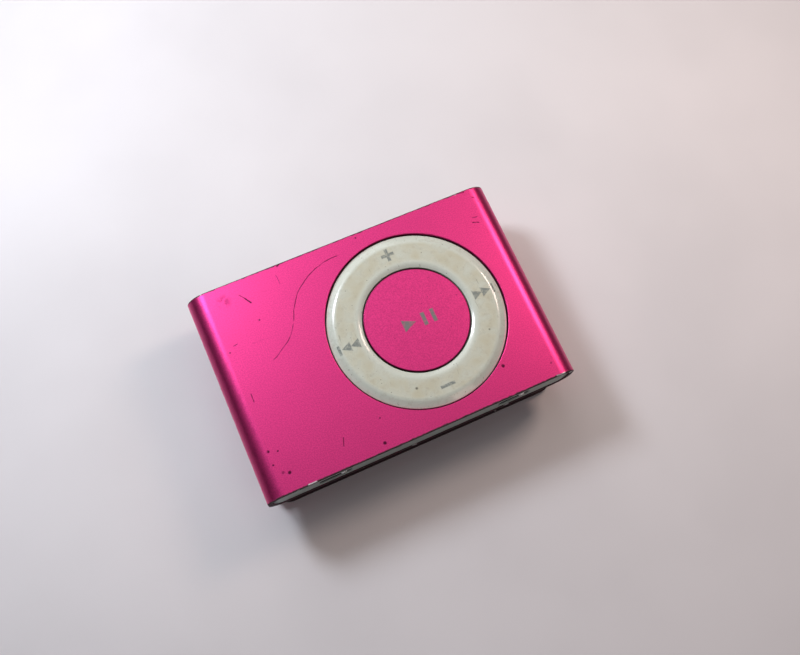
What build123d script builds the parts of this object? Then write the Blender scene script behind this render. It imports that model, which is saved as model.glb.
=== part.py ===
from build123d import *
import math
import os

# A clip-on digital audio player lying on its clip, in millimetres.
# +X runs along the length towards the control ring, +Y across the width towards
# the headphone end, +Z up through the front face. The origin is on the surface
# that the clip rests on, under the middle of the player.

# Envelope
LENGTH = 41.2
SHELL_WIDTH = 27.05
FRONT_Z = 10.35
BACK_Z = 4.05
WALL = 0.7
BEND_RADIUS = 2.45
MID_Z = (FRONT_Z + BACK_Z) / 2
INNER_LENGTH = LENGTH - 2 * WALL
INNER_HEIGHT = FRONT_Z - BACK_Z - 2 * WALL
INNER_RADIUS = BEND_RADIUS - WALL
EDGE_BREAK = 0.1

# End closures, as distances from the middle along Y
CAP_INNER_Y = 12.85
CAP_OUTER_Y = 13.425
CAP_CLEARANCE = 0.05
RETAINER_INNER_Y = 12.2
RETAINER_OUTER_Y = 12.45
RETAINER_INSET = 0.25
BOARD_HALF_WIDTH = 12.1

# Control ring and play button
RING_X = 4.86
RING_HOLE_RADIUS = 11.44
RING_OUTER_RADIUS = 11.28
RING_INNER_RADIUS = 6.83
RING_TOP_Z = 10.5
RING_UNDER_Z = 9.5
RING_FLANGE_RADIUS = 11.86
RING_FLANGE_TOP_Z = 9.23
RING_FLANGE_BOTTOM_Z = 8.75
RING_LEG_INNER_RADIUS = 10.26
RING_EDGE_ROUND = 0.45
PRESS_RADIUS = 9.1
NUB_RADIUS = 0.6
NUB_BOTTOM_Z = 8.4
BUTTON_RADIUS = 6.69
BUTTON_TOP_Z = 10.3
PLUNGER_RADIUS = 7.55
PLUNGER_BOSS_RADIUS = 5.65
PLUNGER_BOTTOM_Z = 8.85
PLUNGER_TOP_Z = 9.25
ROCKER_INNER_RADIUS = 10.71
ROCKER_OUTER_RADIUS = 11.76
ROCKER_BOTTOM_Z = 8.25
ROCKER_TOP_Z = 8.5
ROCKER_PIVOT_RADIUS = 0.25
PIVOT_GAP = 0.02
PLUNGER_NUB_RADIUS = 0.8
BUTTON_EDGE_ROUND = 0.12
DOME_RADIUS = 1.5
DOME_HEIGHT = 0.4
DOME_SKIN = 0.1
DOME_SPHERE_RADIUS = (DOME_RADIUS**2 + DOME_HEIGHT**2) / (2 * DOME_HEIGHT)

# Circuit board
BOARD_BOTTOM_Z = 7.35
BOARD_TOP_Z = 7.95
BOARD_HALF_LENGTH = 18.3
BOARD_CUT_MARGIN = 0.3
JACK_EAR_CUT_Y = 9.4
SWITCH_CUT_HALF_X = 2.7
SWITCH_CUT_Y = -9.2

# Components, as spans along X and Y and a height off the board
PROCESSOR = ((-16.6, -10.6), (-8.2, -2.2), 1.0)
MEMORY = ((-17.4, -8.4), (-8.4, -2.1), 1.0)
POWER_CHIP = ((-9.7, -7.7), (-7.4, -4.4), 0.8)
CRYSTAL = ((-9.2, -7.8), (-0.9, 2.1), 0.7)
CRYSTAL_CORNER = 0.3
PASSIVE_SIZE = (1.0, 0.5, 0.45)
PASSIVE_COLUMNS = (
    (-8.7, (-3.3, -2.4, -1.5, 4.0, 5.0, 6.0, 7.0)),
    (17.0, (-8.0, -6.9, 6.9, 8.0, 9.1)),
    (-17.2, (0.2, 1.4, 9.6, 10.8)),
)
LED_HALF = 0.5
LED_HEIGHT = 0.6
LED_Y = (11.1, 11.7)

# Battery under the board
CELL_X = (-6.3, 17.5)
CELL_Y = (-8.4, 11.4)
CELL_Z = (5.05, 7.15)
CELL_CORNER = 0.5
PAD_MARGIN = 1.0
PAD_BOTTOM_Z = 4.8
TAB_REACH_X = -7.9
TAB_THICKNESS = 0.1
TAB_BOTTOM_Z = 6.3
TAB_WIDTH = 1.6
TAB_STARTS_Y = (3.6, 6.6)

# Headphone jack for a 3.5 mm plug
JACK_X = -13.0
JACK_BORE_RADIUS = 1.78
JACK_DEPTH = 14.0
JACK_MOUTH_Y = 13.35
JACK_NOSE_RADIUS = 2.15
JACK_HALF_X = 2.8
JACK_HALF_Z = 2.1
JACK_BACK_Y = -1.1
JACK_FACE_Y = 12.15
JACK_EAR_END_X = -7.9
JACK_EAR_Y = 9.65
JACK_EAR_Z = (5.9, 8.5)
EAR_HOLE_Y = 10.2
CONTACT_PLACES = ((1.5, -1), (5.0, -1), (8.5, -1), (2.8, 1), (6.4, 1))
CONTACT_HALF = 0.4
CONTACT_SLOT_HALF = 0.45
CONTACT_THICKNESS = 0.25
CONTACT_FOOT = 0.9
CONTACT_FOOT_THICKNESS = 0.2
CONTACT_BOTTOM_Z = 5.6

# Slide switches on the other end
POWER_SWITCH_X = 12.35
ORDER_SWITCH_X = -11.8
SWITCH_PLACES = (ORDER_SWITCH_X, POWER_SWITCH_X)
SWITCH_TRAVEL = 2.2
SLOT_LENGTH = 4.3
SLOT_HEIGHT = 2.0
SLOT_CORNER_RADIUS = 0.5
STEM_SLOT_LENGTH = 3.6
STEM_SLOT_HEIGHT = 1.2
SWITCH_BODY_HALF_X = 2.6
SWITCH_BODY_Y = (-12.15, -9.4)
SWITCH_BODY_BOTTOM_Z = 6.0
SWITCH_EAR_HALF_X = 3.5
SWITCH_EAR_Y = (-11.2, -9.8)
SWITCH_EAR_THICKNESS = 0.2
SWITCH_TRACK_HALF_X = 1.75
SWITCH_TRACK_HALF_Z = 0.5
SWITCH_TRACK_Y = (-13.15, -10.6)
KNOB_PLATE_Y = -12.8
KNOB_PLATE_HALF = 0.25
KNOB_HEIGHT = 1.7
KNOB_CORNER = 0.5
KNOB_GRIP_RADIUS = 0.5
KNOB_GRIP_Y = -13.35
KNOB_GRIP_ROUND = 0.2
KNOB_STEM_HALF_X = 0.45
KNOB_STEM_HALF_Z = 0.4
KNOB_STEM_END_Y = -10.8

# Status lights
TOP_LIGHT_X = -5.5
BOTTOM_LIGHT_X = -3.5
LIGHT_Z = 8.42
LIGHT_RADIUS = 0.4
LIGHT_PIPE_START_Y = 11.75

# Rails and their screws
RAIL_INNER_X = 17.9
RAIL_OUTER_X = 19.55
RAIL_HALF_LENGTH = 12.15
RAIL_Z = (5.75, 8.65)
RAIL_CORNER = 0.3
RAIL_HOLE_DEPTH = 2.0
GROOVE_CLEARANCE = 0.05
RAIL_SCREW_X = 18.85
RAIL_SCREW_Z = 6.6
EAR_SCREW_X = -9.05
SCREW_RADIUS = 0.4
SCREW_HEAD_RADIUS = 0.8
SCREW_HEAD_HEIGHT = 0.3
SCREW_LENGTH = 2.0
SCREW_SLOT_DEPTH = 0.15
SCREW_SLOT_HALF = 0.5
SCREW_SLOT_HALF_WIDTH = 0.1

# Clip on the back
CLIP_THICKNESS = 0.9
CLIP_HALF_WIDTH = 13.35
CLIP_LEFT_X = -20.3
CLIP_RIGHT_X = 20.4
CLIP_BEND_RADIUS = 2.4
CLIP_CORNER_RADIUS = 2.8
CLIP_BLANK_HEIGHT = 8.0
CLIP_TAB_TOP_Z = 2.3
CLIP_JAW_TOP_Z = 3.3
STRIP_HALF_WIDTH = 11.5
STRIP_THICKNESS = 1.2
TOOTH_PITCH = 1.15
NOTCH_HALF_WIDTH = 0.3
NOTCH_DEPTH = 0.4
STRIP_GAP = 0.1
HINGE_X = -13.5
HINGE_Z = 2.35
PIN_RADIUS = 0.6
PIN_HALF_LENGTH = 10.3
KNUCKLE_RADIUS = 1.2
PIN_CLEARANCE = 0.05
LUG_INNER_Y = 8.0
LUG_OUTER_Y = 9.4
EAR_INNER_Y = 9.45
EAR_OUTER_Y = 9.95
BRACKET_BOTTOM_Z = 3.65
BRACKET_HALF_X = 3.5
RIVET_RADIUS = 0.6
RIVET_HEAD_RADIUS = 1.0
RIVET_HEAD_HEIGHT = 0.35
RIVET_TAIL_RADIUS = 0.95
RIVET_TAIL_HEIGHT = 0.23
RIVET_OFFSET_X = 2.4
RIVET_Y = 5.5
SPRING_WIRE_RADIUS = 0.2
SPRING_COIL_RADIUS = 0.95
SPRING_TURNS = 8.5
SPRING_HALF_LENGTH = 3.6
SPRING_UPPER_ARM = 3.2
SPRING_LOWER_ARM = 4.4


def block(x_span, y_span, z_span):
    """A box between pairs of lowest and highest coordinates."""
    centre = [(low + high) / 2 for low, high in (x_span, y_span, z_span)]
    sides = [high - low for low, high in (x_span, y_span, z_span)]
    return Pos(*centre) * Box(*sides)


def upright(x, y, radius, z_low, z_high):
    """A cylinder along Z."""
    return Pos(x, y, (z_low + z_high) / 2) * Cylinder(radius, z_high - z_low)


def across(x, z, radius, y_low, y_high):
    """A cylinder along Y."""
    turned = Rot(90, 0, 0) * Cylinder(radius, y_high - y_low)
    return Pos(x, (y_low + y_high) / 2, z) * turned


def sleeve_section(length, height, radius, y_low, y_high):
    """A bar with the rounded section of the sleeve, running along Y."""
    outline = Plane.XZ * Pos(0, MID_Z) * RectangleRounded(length, height, radius)
    bar = extrude(outline, amount=(y_high - y_low) / 2, both=True)
    return Pos(0, (y_low + y_high) / 2, 0) * bar


def slot_across(x, z, length, height, y_low, y_high):
    """A slot along X with rounded corners, cut through along Y."""
    outline = Plane.XZ * Pos(x, z) * RectangleRounded(length, height, SLOT_CORNER_RADIUS)
    bar = extrude(outline, amount=(y_high - y_low) / 2, both=True)
    return Pos(0, (y_low + y_high) / 2, 0) * bar


def save(name, shape):
    """Writes one sub-part as its own STEP file."""
    shape.label = name
    export_step(shape, f"parts/{name}.step")


def rivet_places():
    """The four places where the hinge bracket is riveted to the back."""
    return [
        (HINGE_X + side * RIVET_OFFSET_X, end * RIVET_Y)
        for side in (-1, 1)
        for end in (-1, 1)
    ]


def make_shell():
    half = SHELL_WIDTH / 2
    body = sleeve_section(LENGTH, FRONT_Z - BACK_Z, BEND_RADIUS, -half, half)
    ends = body.faces().filter_by(Axis.Y).edges()
    body = chamfer(ends, EDGE_BREAK)
    body -= sleeve_section(INNER_LENGTH, INNER_HEIGHT, INNER_RADIUS, -half - 1, half + 1)
    body -= upright(RING_X, 0, RING_HOLE_RADIUS, MID_Z, FRONT_Z + 1)
    for x, y in rivet_places():
        body -= upright(x, y, RIVET_RADIUS + 0.05, BACK_Z - 1, MID_Z)
    return body


def make_cap_blank():
    blank = sleeve_section(
        INNER_LENGTH - 2 * CAP_CLEARANCE,
        INNER_HEIGHT - 2 * CAP_CLEARANCE,
        INNER_RADIUS - CAP_CLEARANCE,
        CAP_INNER_Y,
        CAP_OUTER_Y,
    )
    outer_face = blank.faces().sort_by(Axis.Y)[-1]
    return chamfer(outer_face.edges(), EDGE_BREAK)


def make_top_end_cap():
    cap = make_cap_blank()
    cap -= across(JACK_X, MID_Z, JACK_NOSE_RADIUS + 0.05, CAP_INNER_Y - 1, CAP_OUTER_Y + 1)
    cap -= across(TOP_LIGHT_X, LIGHT_Z, LIGHT_RADIUS + 0.02, CAP_INNER_Y - 1, CAP_OUTER_Y + 1)
    return cap


def make_bottom_end_cap():
    cap = Rot(0, 0, 180) * make_cap_blank()
    low, high = -CAP_OUTER_Y - 1, -CAP_INNER_Y + 1
    for x in SWITCH_PLACES:
        cap -= slot_across(x, MID_Z, SLOT_LENGTH, SLOT_HEIGHT, low, high)
    cap -= across(BOTTOM_LIGHT_X, LIGHT_Z, LIGHT_RADIUS + 0.02, low, high)
    return cap


def make_retainer_blank(y_low, y_high):
    return sleeve_section(
        INNER_LENGTH - 2 * RETAINER_INSET,
        INNER_HEIGHT - 2 * RETAINER_INSET,
        INNER_RADIUS - RETAINER_INSET,
        y_low,
        y_high,
    )


def make_top_retainer():
    """A thin steel plate right of the jack, screwed to the jack's ear and a rail."""
    low, high = RETAINER_INNER_Y, RETAINER_OUTER_Y
    plate = make_retainer_blank(low, high)
    plate -= block(
        (-LENGTH, JACK_X + JACK_HALF_X - BOARD_CUT_MARGIN), (low - 1, high + 1), (BACK_Z, FRONT_Z)
    )
    plate -= across(RAIL_SCREW_X, RAIL_SCREW_Z, SCREW_RADIUS + 0.05, low - 1, high + 1)
    plate -= across(EAR_SCREW_X, MID_Z, SCREW_RADIUS + 0.05, low - 1, high + 1)
    plate -= across(TOP_LIGHT_X, LIGHT_Z, LIGHT_RADIUS + 0.1, low - 1, high + 1)
    return plate


def make_bottom_retainer():
    low, high = -RETAINER_OUTER_Y, -RETAINER_INNER_Y
    plate = make_retainer_blank(low, high)
    for x in SWITCH_PLACES:
        plate -= slot_across(x, MID_Z, STEM_SLOT_LENGTH, STEM_SLOT_HEIGHT, low - 1, high + 1)
    for side in (-1, 1):
        plate -= across(side * RAIL_SCREW_X, RAIL_SCREW_Z, SCREW_RADIUS + 0.05, low - 1, high + 1)
    plate -= across(BOTTOM_LIGHT_X, LIGHT_Z, LIGHT_RADIUS + 0.1, low - 1, high + 1)
    return plate


def make_screw(x, z, end):
    """A tiny pan-head screw along Y; end is +1 at the jack end and -1 at the other."""
    face = RETAINER_OUTER_Y
    spans = (
        (SCREW_RADIUS, face - SCREW_LENGTH, face),
        (SCREW_HEAD_RADIUS, face, face + SCREW_HEAD_HEIGHT),
    )
    screw = Part()
    for radius, low, high in spans:
        screw += across(x, z, radius, *sorted((end * low, end * high)))
    slot_floor = face + SCREW_HEAD_HEIGHT - SCREW_SLOT_DEPTH
    slot_span = sorted((end * slot_floor, end * (face + 1)))
    reach, width = SCREW_SLOT_HALF, SCREW_SLOT_HALF_WIDTH
    screw -= block((x - reach, x + reach), slot_span, (z - width, z + width))
    screw -= block((x - width, x + width), slot_span, (z - reach, z + reach))
    return screw


def make_retainer_screws():
    places = (
        (RAIL_SCREW_X, RAIL_SCREW_Z, 1),
        (EAR_SCREW_X, MID_Z, 1),
        (RAIL_SCREW_X, RAIL_SCREW_Z, -1),
        (-RAIL_SCREW_X, RAIL_SCREW_Z, -1),
    )
    return Compound([make_screw(x, z, end).solid() for x, z, end in places])


def make_rail(side):
    """A moulded rail along one bend of the sleeve that grips the board's edge."""
    groove_depth_x = BOARD_HALF_LENGTH + 0.1
    rail = block(
        (RAIL_INNER_X, RAIL_OUTER_X),
        (-RAIL_HALF_LENGTH, RAIL_HALF_LENGTH),
        RAIL_Z,
    )
    rail = chamfer(rail.edges().filter_by(Axis.Y).group_by(Axis.X)[-1], RAIL_CORNER)
    rail -= block(
        (RAIL_INNER_X - 1, groove_depth_x),
        (-RAIL_HALF_LENGTH - 1, RAIL_HALF_LENGTH + 1),
        (BOARD_BOTTOM_Z - GROOVE_CLEARANCE, BOARD_TOP_Z + GROOVE_CLEARANCE),
    )
    for end in (-1, 1):
        hole = sorted((end * (RAIL_HALF_LENGTH - RAIL_HOLE_DEPTH), end * (RAIL_HALF_LENGTH + 1)))
        rail -= across(RAIL_SCREW_X, RAIL_SCREW_Z, SCREW_RADIUS + 0.02, *hole)
    if side < 0:
        rail = mirror(rail, about=Plane.YZ)
    return rail


def make_main_board():
    thickness = (BOARD_BOTTOM_Z, BOARD_TOP_Z)
    board = block(
        (-BOARD_HALF_LENGTH, BOARD_HALF_LENGTH),
        (-BOARD_HALF_WIDTH, BOARD_HALF_WIDTH),
        thickness,
    )
    jack_side = JACK_HALF_X + BOARD_CUT_MARGIN
    cut_z = (BOARD_BOTTOM_Z - 1, BOARD_TOP_Z + 1)
    board -= block(
        (JACK_X - jack_side, JACK_X + jack_side),
        (JACK_BACK_Y - BOARD_CUT_MARGIN, BOARD_HALF_WIDTH + 1),
        cut_z,
    )
    board -= block(
        (JACK_X, JACK_EAR_END_X + 0.2), (JACK_EAR_CUT_Y, BOARD_HALF_WIDTH + 1), cut_z
    )
    for x in SWITCH_PLACES:
        x_span = (x - SWITCH_CUT_HALF_X, x + SWITCH_CUT_HALF_X)
        board -= block(x_span, (-BOARD_HALF_WIDTH - 1, SWITCH_CUT_Y), cut_z)
    return board


def on_board(component):
    """A block standing on the top of the board."""
    x_span, y_span, height = component
    return block(x_span, y_span, (BOARD_TOP_Z, BOARD_TOP_Z + height))


def make_memory_chip():
    x_span, y_span, height = MEMORY
    return block(x_span, y_span, (BOARD_BOTTOM_Z - height, BOARD_BOTTOM_Z))


def make_crystal():
    return fillet(on_board(CRYSTAL).edges().filter_by(Axis.Z), CRYSTAL_CORNER)


def make_passives():
    """Chip capacitors and resistors in rows beside the bigger components."""
    length, width, height = PASSIVE_SIZE
    chips = []
    for x, column in PASSIVE_COLUMNS:
        for y in column:
            x_span = (x - length / 2, x + length / 2)
            y_span = (y - width / 2, y + width / 2)
            chips.append(on_board((x_span, y_span, height)).solid())
    return Compound(chips)


def make_status_leds():
    low, high = LED_Y
    leds = []
    for x, y_span in ((TOP_LIGHT_X, (low, high)), (BOTTOM_LIGHT_X, (-high, -low))):
        leds.append(on_board(((x - LED_HALF, x + LED_HALF), y_span, LED_HEIGHT)).solid())
    return Compound(leds)


def make_light_pipe(x, end):
    span = sorted((end * LIGHT_PIPE_START_Y, end * (CAP_OUTER_Y - 0.02)))
    return across(x, LIGHT_Z, LIGHT_RADIUS, *span)


def make_battery_cell():
    cell = block(CELL_X, CELL_Y, CELL_Z)
    return fillet(cell.edges().filter_by(Axis.Y), CELL_CORNER)


def make_battery_pad():
    x_span = (CELL_X[0] + PAD_MARGIN, CELL_X[1] - PAD_MARGIN)
    y_span = (CELL_Y[0] + PAD_MARGIN, CELL_Y[1] - PAD_MARGIN)
    return block(x_span, y_span, (PAD_BOTTOM_Z, CELL_Z[0] - 0.01))


def make_battery_tabs():
    tabs = []
    for y in TAB_STARTS_Y:
        y_span = (y, y + TAB_WIDTH)
        flat_z = (TAB_BOTTOM_Z, TAB_BOTTOM_Z + TAB_THICKNESS)
        strip = block((TAB_REACH_X, CELL_X[0]), y_span, flat_z)
        riser_x = (TAB_REACH_X, TAB_REACH_X + TAB_THICKNESS)
        strip += block(riser_x, y_span, (TAB_BOTTOM_Z, BOARD_BOTTOM_Z))
        tabs.append(strip.solid())
    return Compound(tabs)


def make_headphone_jack():
    body = block(
        (JACK_X - JACK_HALF_X, JACK_X + JACK_HALF_X),
        (JACK_BACK_Y, JACK_FACE_Y),
        (MID_Z - JACK_HALF_Z, MID_Z + JACK_HALF_Z),
    )
    ear_x = (JACK_X + JACK_HALF_X, JACK_EAR_END_X)
    body += block(ear_x, (JACK_EAR_Y, JACK_FACE_Y), JACK_EAR_Z)
    body += across(JACK_X, MID_Z, JACK_NOSE_RADIUS, JACK_FACE_Y, JACK_MOUTH_Y)
    body -= across(JACK_X, MID_Z, JACK_BORE_RADIUS, JACK_MOUTH_Y - JACK_DEPTH, JACK_MOUTH_Y + 1)
    body -= across(EAR_SCREW_X, MID_Z, SCREW_RADIUS + 0.02, EAR_HOLE_Y, JACK_FACE_Y + 1)
    for y, side in CONTACT_PLACES:
        face = JACK_X + side * JACK_HALF_X
        x_span = sorted((face - side * (CONTACT_THICKNESS + 0.05), face + side))
        y_span = (y - CONTACT_SLOT_HALF, y + CONTACT_SLOT_HALF)
        z_span = (CONTACT_BOTTOM_Z - 0.1, BOARD_TOP_Z + CONTACT_FOOT_THICKNESS + 0.15)
        body -= block(x_span, y_span, z_span)
    return body


def make_jack_contacts():
    contacts = []
    foot_top = BOARD_TOP_Z + CONTACT_FOOT_THICKNESS
    for y, side in CONTACT_PLACES:
        face = JACK_X + side * JACK_HALF_X
        inside = face - side * CONTACT_THICKNESS
        y_span = (y - CONTACT_HALF, y + CONTACT_HALF)
        leaf = block(sorted((inside, face)), y_span, (CONTACT_BOTTOM_Z, foot_top))
        foot_x = sorted((inside, face + side * CONTACT_FOOT))
        leaf += block(foot_x, y_span, (BOARD_TOP_Z, foot_top))
        contacts.append(leaf.solid())
    return Compound(contacts)


def make_control_ring():
    """A moulded ring with a softly rounded top, a retaining leg and four nubs."""
    outline = Polyline(
        (RING_INNER_RADIUS, RING_UNDER_Z),
        (RING_INNER_RADIUS, RING_TOP_Z),
        (RING_OUTER_RADIUS, RING_TOP_Z),
        (RING_OUTER_RADIUS, RING_FLANGE_TOP_Z),
        (RING_FLANGE_RADIUS, RING_FLANGE_TOP_Z),
        (RING_FLANGE_RADIUS, RING_FLANGE_BOTTOM_Z),
        (RING_LEG_INNER_RADIUS, RING_FLANGE_BOTTOM_Z),
        (RING_LEG_INNER_RADIUS, RING_UNDER_Z),
        close=True,
    )
    ring = revolve(Plane.XZ * make_face(outline), axis=Axis.Z)
    top_edges = ring.edges().filter_by(GeomType.CIRCLE).group_by(Axis.Z)[-1]
    ring = fillet(top_edges, RING_EDGE_ROUND)
    for x, y in press_places():
        ring += upright(x, y, NUB_RADIUS, NUB_BOTTOM_Z, RING_UNDER_Z + 0.2)
    return Pos(RING_X, 0, 0) * ring


def press_places():
    """The four places round the ring where it presses a dome, from its centre."""
    return [
        (PRESS_RADIUS * math.cos(math.radians(turn)), PRESS_RADIUS * math.sin(math.radians(turn)))
        for turn in (0, 90, 180, 270)
    ]


def make_rocker_frame():
    """A thin steel gimbal ring that lets the control ring tilt both ways."""
    frame = upright(0, 0, ROCKER_OUTER_RADIUS, ROCKER_BOTTOM_Z, ROCKER_TOP_Z)
    frame -= upright(0, 0, ROCKER_INNER_RADIUS, ROCKER_BOTTOM_Z - 1, ROCKER_TOP_Z + 1)
    pivot_radius = (ROCKER_INNER_RADIUS + ROCKER_OUTER_RADIUS) / 2
    for side in (-1, 1):
        low_pivot = (BOARD_TOP_Z + PIVOT_GAP, ROCKER_TOP_Z)
        high_pivot = (ROCKER_BOTTOM_Z, RING_FLANGE_BOTTOM_Z - PIVOT_GAP)
        frame += upright(side * pivot_radius, 0, ROCKER_PIVOT_RADIUS, *low_pivot)
        frame += upright(0, side * pivot_radius, ROCKER_PIVOT_RADIUS, *high_pivot)
    return Pos(RING_X, 0, 0) * frame


def make_play_button():
    disc = upright(RING_X, 0, BUTTON_RADIUS, RING_UNDER_Z, BUTTON_TOP_Z)
    return fillet(disc.edges().group_by(Axis.Z)[-1], BUTTON_EDGE_ROUND)


def make_button_plunger():
    plunger = upright(RING_X, 0, PLUNGER_RADIUS, PLUNGER_BOTTOM_Z, PLUNGER_TOP_Z)
    plunger += upright(RING_X, 0, PLUNGER_BOSS_RADIUS, PLUNGER_TOP_Z, RING_UNDER_Z)
    plunger += upright(RING_X, 0, PLUNGER_NUB_RADIUS, NUB_BOTTOM_Z, PLUNGER_BOTTOM_Z)
    return plunger


def make_dome(x, y):
    """A snap dome: a shallow metal cap standing on the board."""
    outer = DOME_SPHERE_RADIUS
    inner = outer - DOME_SKIN
    centre_z = BOARD_TOP_Z + DOME_HEIGHT - outer
    cap = Pos(x, y, centre_z) * Sphere(outer) - Pos(x, y, centre_z) * Sphere(inner)
    return cap & upright(x, y, DOME_RADIUS + 1, BOARD_TOP_Z, BOARD_TOP_Z + 1)


def make_ring_domes():
    return Compound([make_dome(RING_X + x, y).solid() for x, y in press_places()])


def make_switch_body(x):
    body = block(
        (x - SWITCH_BODY_HALF_X, x + SWITCH_BODY_HALF_X),
        SWITCH_BODY_Y,
        (SWITCH_BODY_BOTTOM_Z, BOARD_TOP_Z),
    )
    body += block(
        (x - SWITCH_EAR_HALF_X, x + SWITCH_EAR_HALF_X),
        SWITCH_EAR_Y,
        (BOARD_BOTTOM_Z - SWITCH_EAR_THICKNESS, BOARD_BOTTOM_Z),
    )
    body -= block(
        (x - SWITCH_TRACK_HALF_X, x + SWITCH_TRACK_HALF_X),
        SWITCH_TRACK_Y,
        (MID_Z - SWITCH_TRACK_HALF_Z, MID_Z + SWITCH_TRACK_HALF_Z),
    )
    return body


def make_switch_knob(slot_x):
    """A slider with a small round grip, resting at the +X end of its slot."""
    x = slot_x + SWITCH_TRAVEL / 2
    plate_half = SLOT_LENGTH / 2 - SWITCH_TRAVEL / 2 - 0.05
    plate = Plane.XZ * Pos(x, MID_Z) * RectangleRounded(2 * plate_half, KNOB_HEIGHT, KNOB_CORNER)
    knob = Pos(0, KNOB_PLATE_Y, 0) * extrude(plate, amount=KNOB_PLATE_HALF, both=True)
    knob += across(x, MID_Z, KNOB_GRIP_RADIUS, KNOB_GRIP_Y, KNOB_PLATE_Y)
    knob = fillet(knob.faces().sort_by(Axis.Y)[0].edges(), KNOB_GRIP_ROUND)
    knob += block(
        (x - KNOB_STEM_HALF_X, x + KNOB_STEM_HALF_X),
        (KNOB_PLATE_Y, KNOB_STEM_END_Y),
        (MID_Z - KNOB_STEM_HALF_Z, MID_Z + KNOB_STEM_HALF_Z),
    )
    return knob


def knuckle(y_low, y_high, z_far, hole_radius):
    """A rounded lug round the hinge line, reaching to z_far, with its pin hole."""
    lug = across(HINGE_X, HINGE_Z, KNUCKLE_RADIUS, y_low, y_high)
    lug += block(
        (HINGE_X - KNUCKLE_RADIUS, HINGE_X + KNUCKLE_RADIUS),
        (y_low, y_high),
        sorted((HINGE_Z, z_far)),
    )
    return lug - across(HINGE_X, HINGE_Z, hole_radius, y_low - 1, y_high + 1)


def both_ends(y_low, y_high):
    return ((y_low, y_high), (-y_high, -y_low))


def make_clip_plate():
    """A bent aluminium plate: flat, with a curled thumb tab and a curled jaw."""
    length = CLIP_RIGHT_X - CLIP_LEFT_X
    middle_x = (CLIP_RIGHT_X + CLIP_LEFT_X) / 2
    height = CLIP_BLANK_HEIGHT
    place = Pos(middle_x, height / 2)
    outer = place * RectangleRounded(length, height, CLIP_BEND_RADIUS)
    inner = place * RectangleRounded(
        length - 2 * CLIP_THICKNESS,
        height - 2 * CLIP_THICKNESS,
        CLIP_BEND_RADIUS - CLIP_THICKNESS,
    )
    channel = outer - inner
    channel -= Pos(CLIP_LEFT_X, CLIP_TAB_TOP_Z + height / 2) * Rectangle(length, height)
    channel -= Pos(CLIP_RIGHT_X, CLIP_JAW_TOP_Z + height / 2) * Rectangle(length, height)
    plate = extrude(Plane.XZ * channel, amount=CLIP_HALF_WIDTH, both=True)
    outline = Pos(middle_x, 0) * RectangleRounded(length, 2 * CLIP_HALF_WIDTH, CLIP_CORNER_RADIUS)
    plate &= extrude(outline, amount=height)
    for y_low, y_high in both_ends(LUG_INNER_Y, LUG_OUTER_Y):
        plate += knuckle(y_low, y_high, CLIP_THICKNESS / 2, PIN_RADIUS)
    return plate


def make_clip_jaw_strip():
    """A toothed strip inside the jaw that grips cloth against the back."""
    half = STRIP_HALF_WIDTH
    inside_x = CLIP_RIGHT_X - CLIP_THICKNESS
    x_span = (inside_x - STRIP_THICKNESS, inside_x)
    top = BACK_Z - STRIP_GAP
    strip = block(x_span, (-half, half), (CLIP_BEND_RADIUS, top))
    notch_x = (x_span[0] - 1, x_span[1] + 1)
    count = int(2 * half / TOOTH_PITCH) - 1
    for index in range(count):
        y = (index - (count - 1) / 2) * TOOTH_PITCH
        y_span = (y - NOTCH_HALF_WIDTH, y + NOTCH_HALF_WIDTH)
        strip -= block(notch_x, y_span, (top - NOTCH_DEPTH, BACK_Z))
    return strip


def make_clip_hinge_pin():
    pin = across(HINGE_X, HINGE_Z, PIN_RADIUS, -PIN_HALF_LENGTH, PIN_HALF_LENGTH)
    return chamfer(pin.edges(), EDGE_BREAK)


def make_clip_bracket():
    plate = block(
        (HINGE_X - BRACKET_HALF_X, HINGE_X + BRACKET_HALF_X),
        (-EAR_OUTER_Y, EAR_OUTER_Y),
        (BRACKET_BOTTOM_Z, BACK_Z),
    )
    for y_low, y_high in both_ends(EAR_INNER_Y, EAR_OUTER_Y):
        plate += knuckle(y_low, y_high, BACK_Z, PIN_RADIUS + PIN_CLEARANCE)
    for x, y in rivet_places():
        plate -= upright(x, y, RIVET_RADIUS + 0.05, BRACKET_BOTTOM_Z - 1, BACK_Z + 1)
    return plate


def make_clip_rivets():
    rivets = []
    for x, y in rivet_places():
        rivet = upright(x, y, RIVET_RADIUS, BRACKET_BOTTOM_Z, BACK_Z + WALL)
        head_z = (BRACKET_BOTTOM_Z - RIVET_HEAD_HEIGHT, BRACKET_BOTTOM_Z)
        tail_z = (BACK_Z + WALL, BACK_Z + WALL + RIVET_TAIL_HEIGHT)
        rivet += upright(x, y, RIVET_HEAD_RADIUS, *head_z)
        rivet += upright(x, y, RIVET_TAIL_RADIUS, *tail_z)
        rivets.append(rivet.solid())
    return Compound(rivets)


def straight_wire(start, end):
    """A straight run of the spring's wire."""
    run = Line(start, end)
    section = Plane(run @ 0, z_dir=run % 0) * Circle(SPRING_WIRE_RADIUS)
    return sweep(section, path=run)


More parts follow.
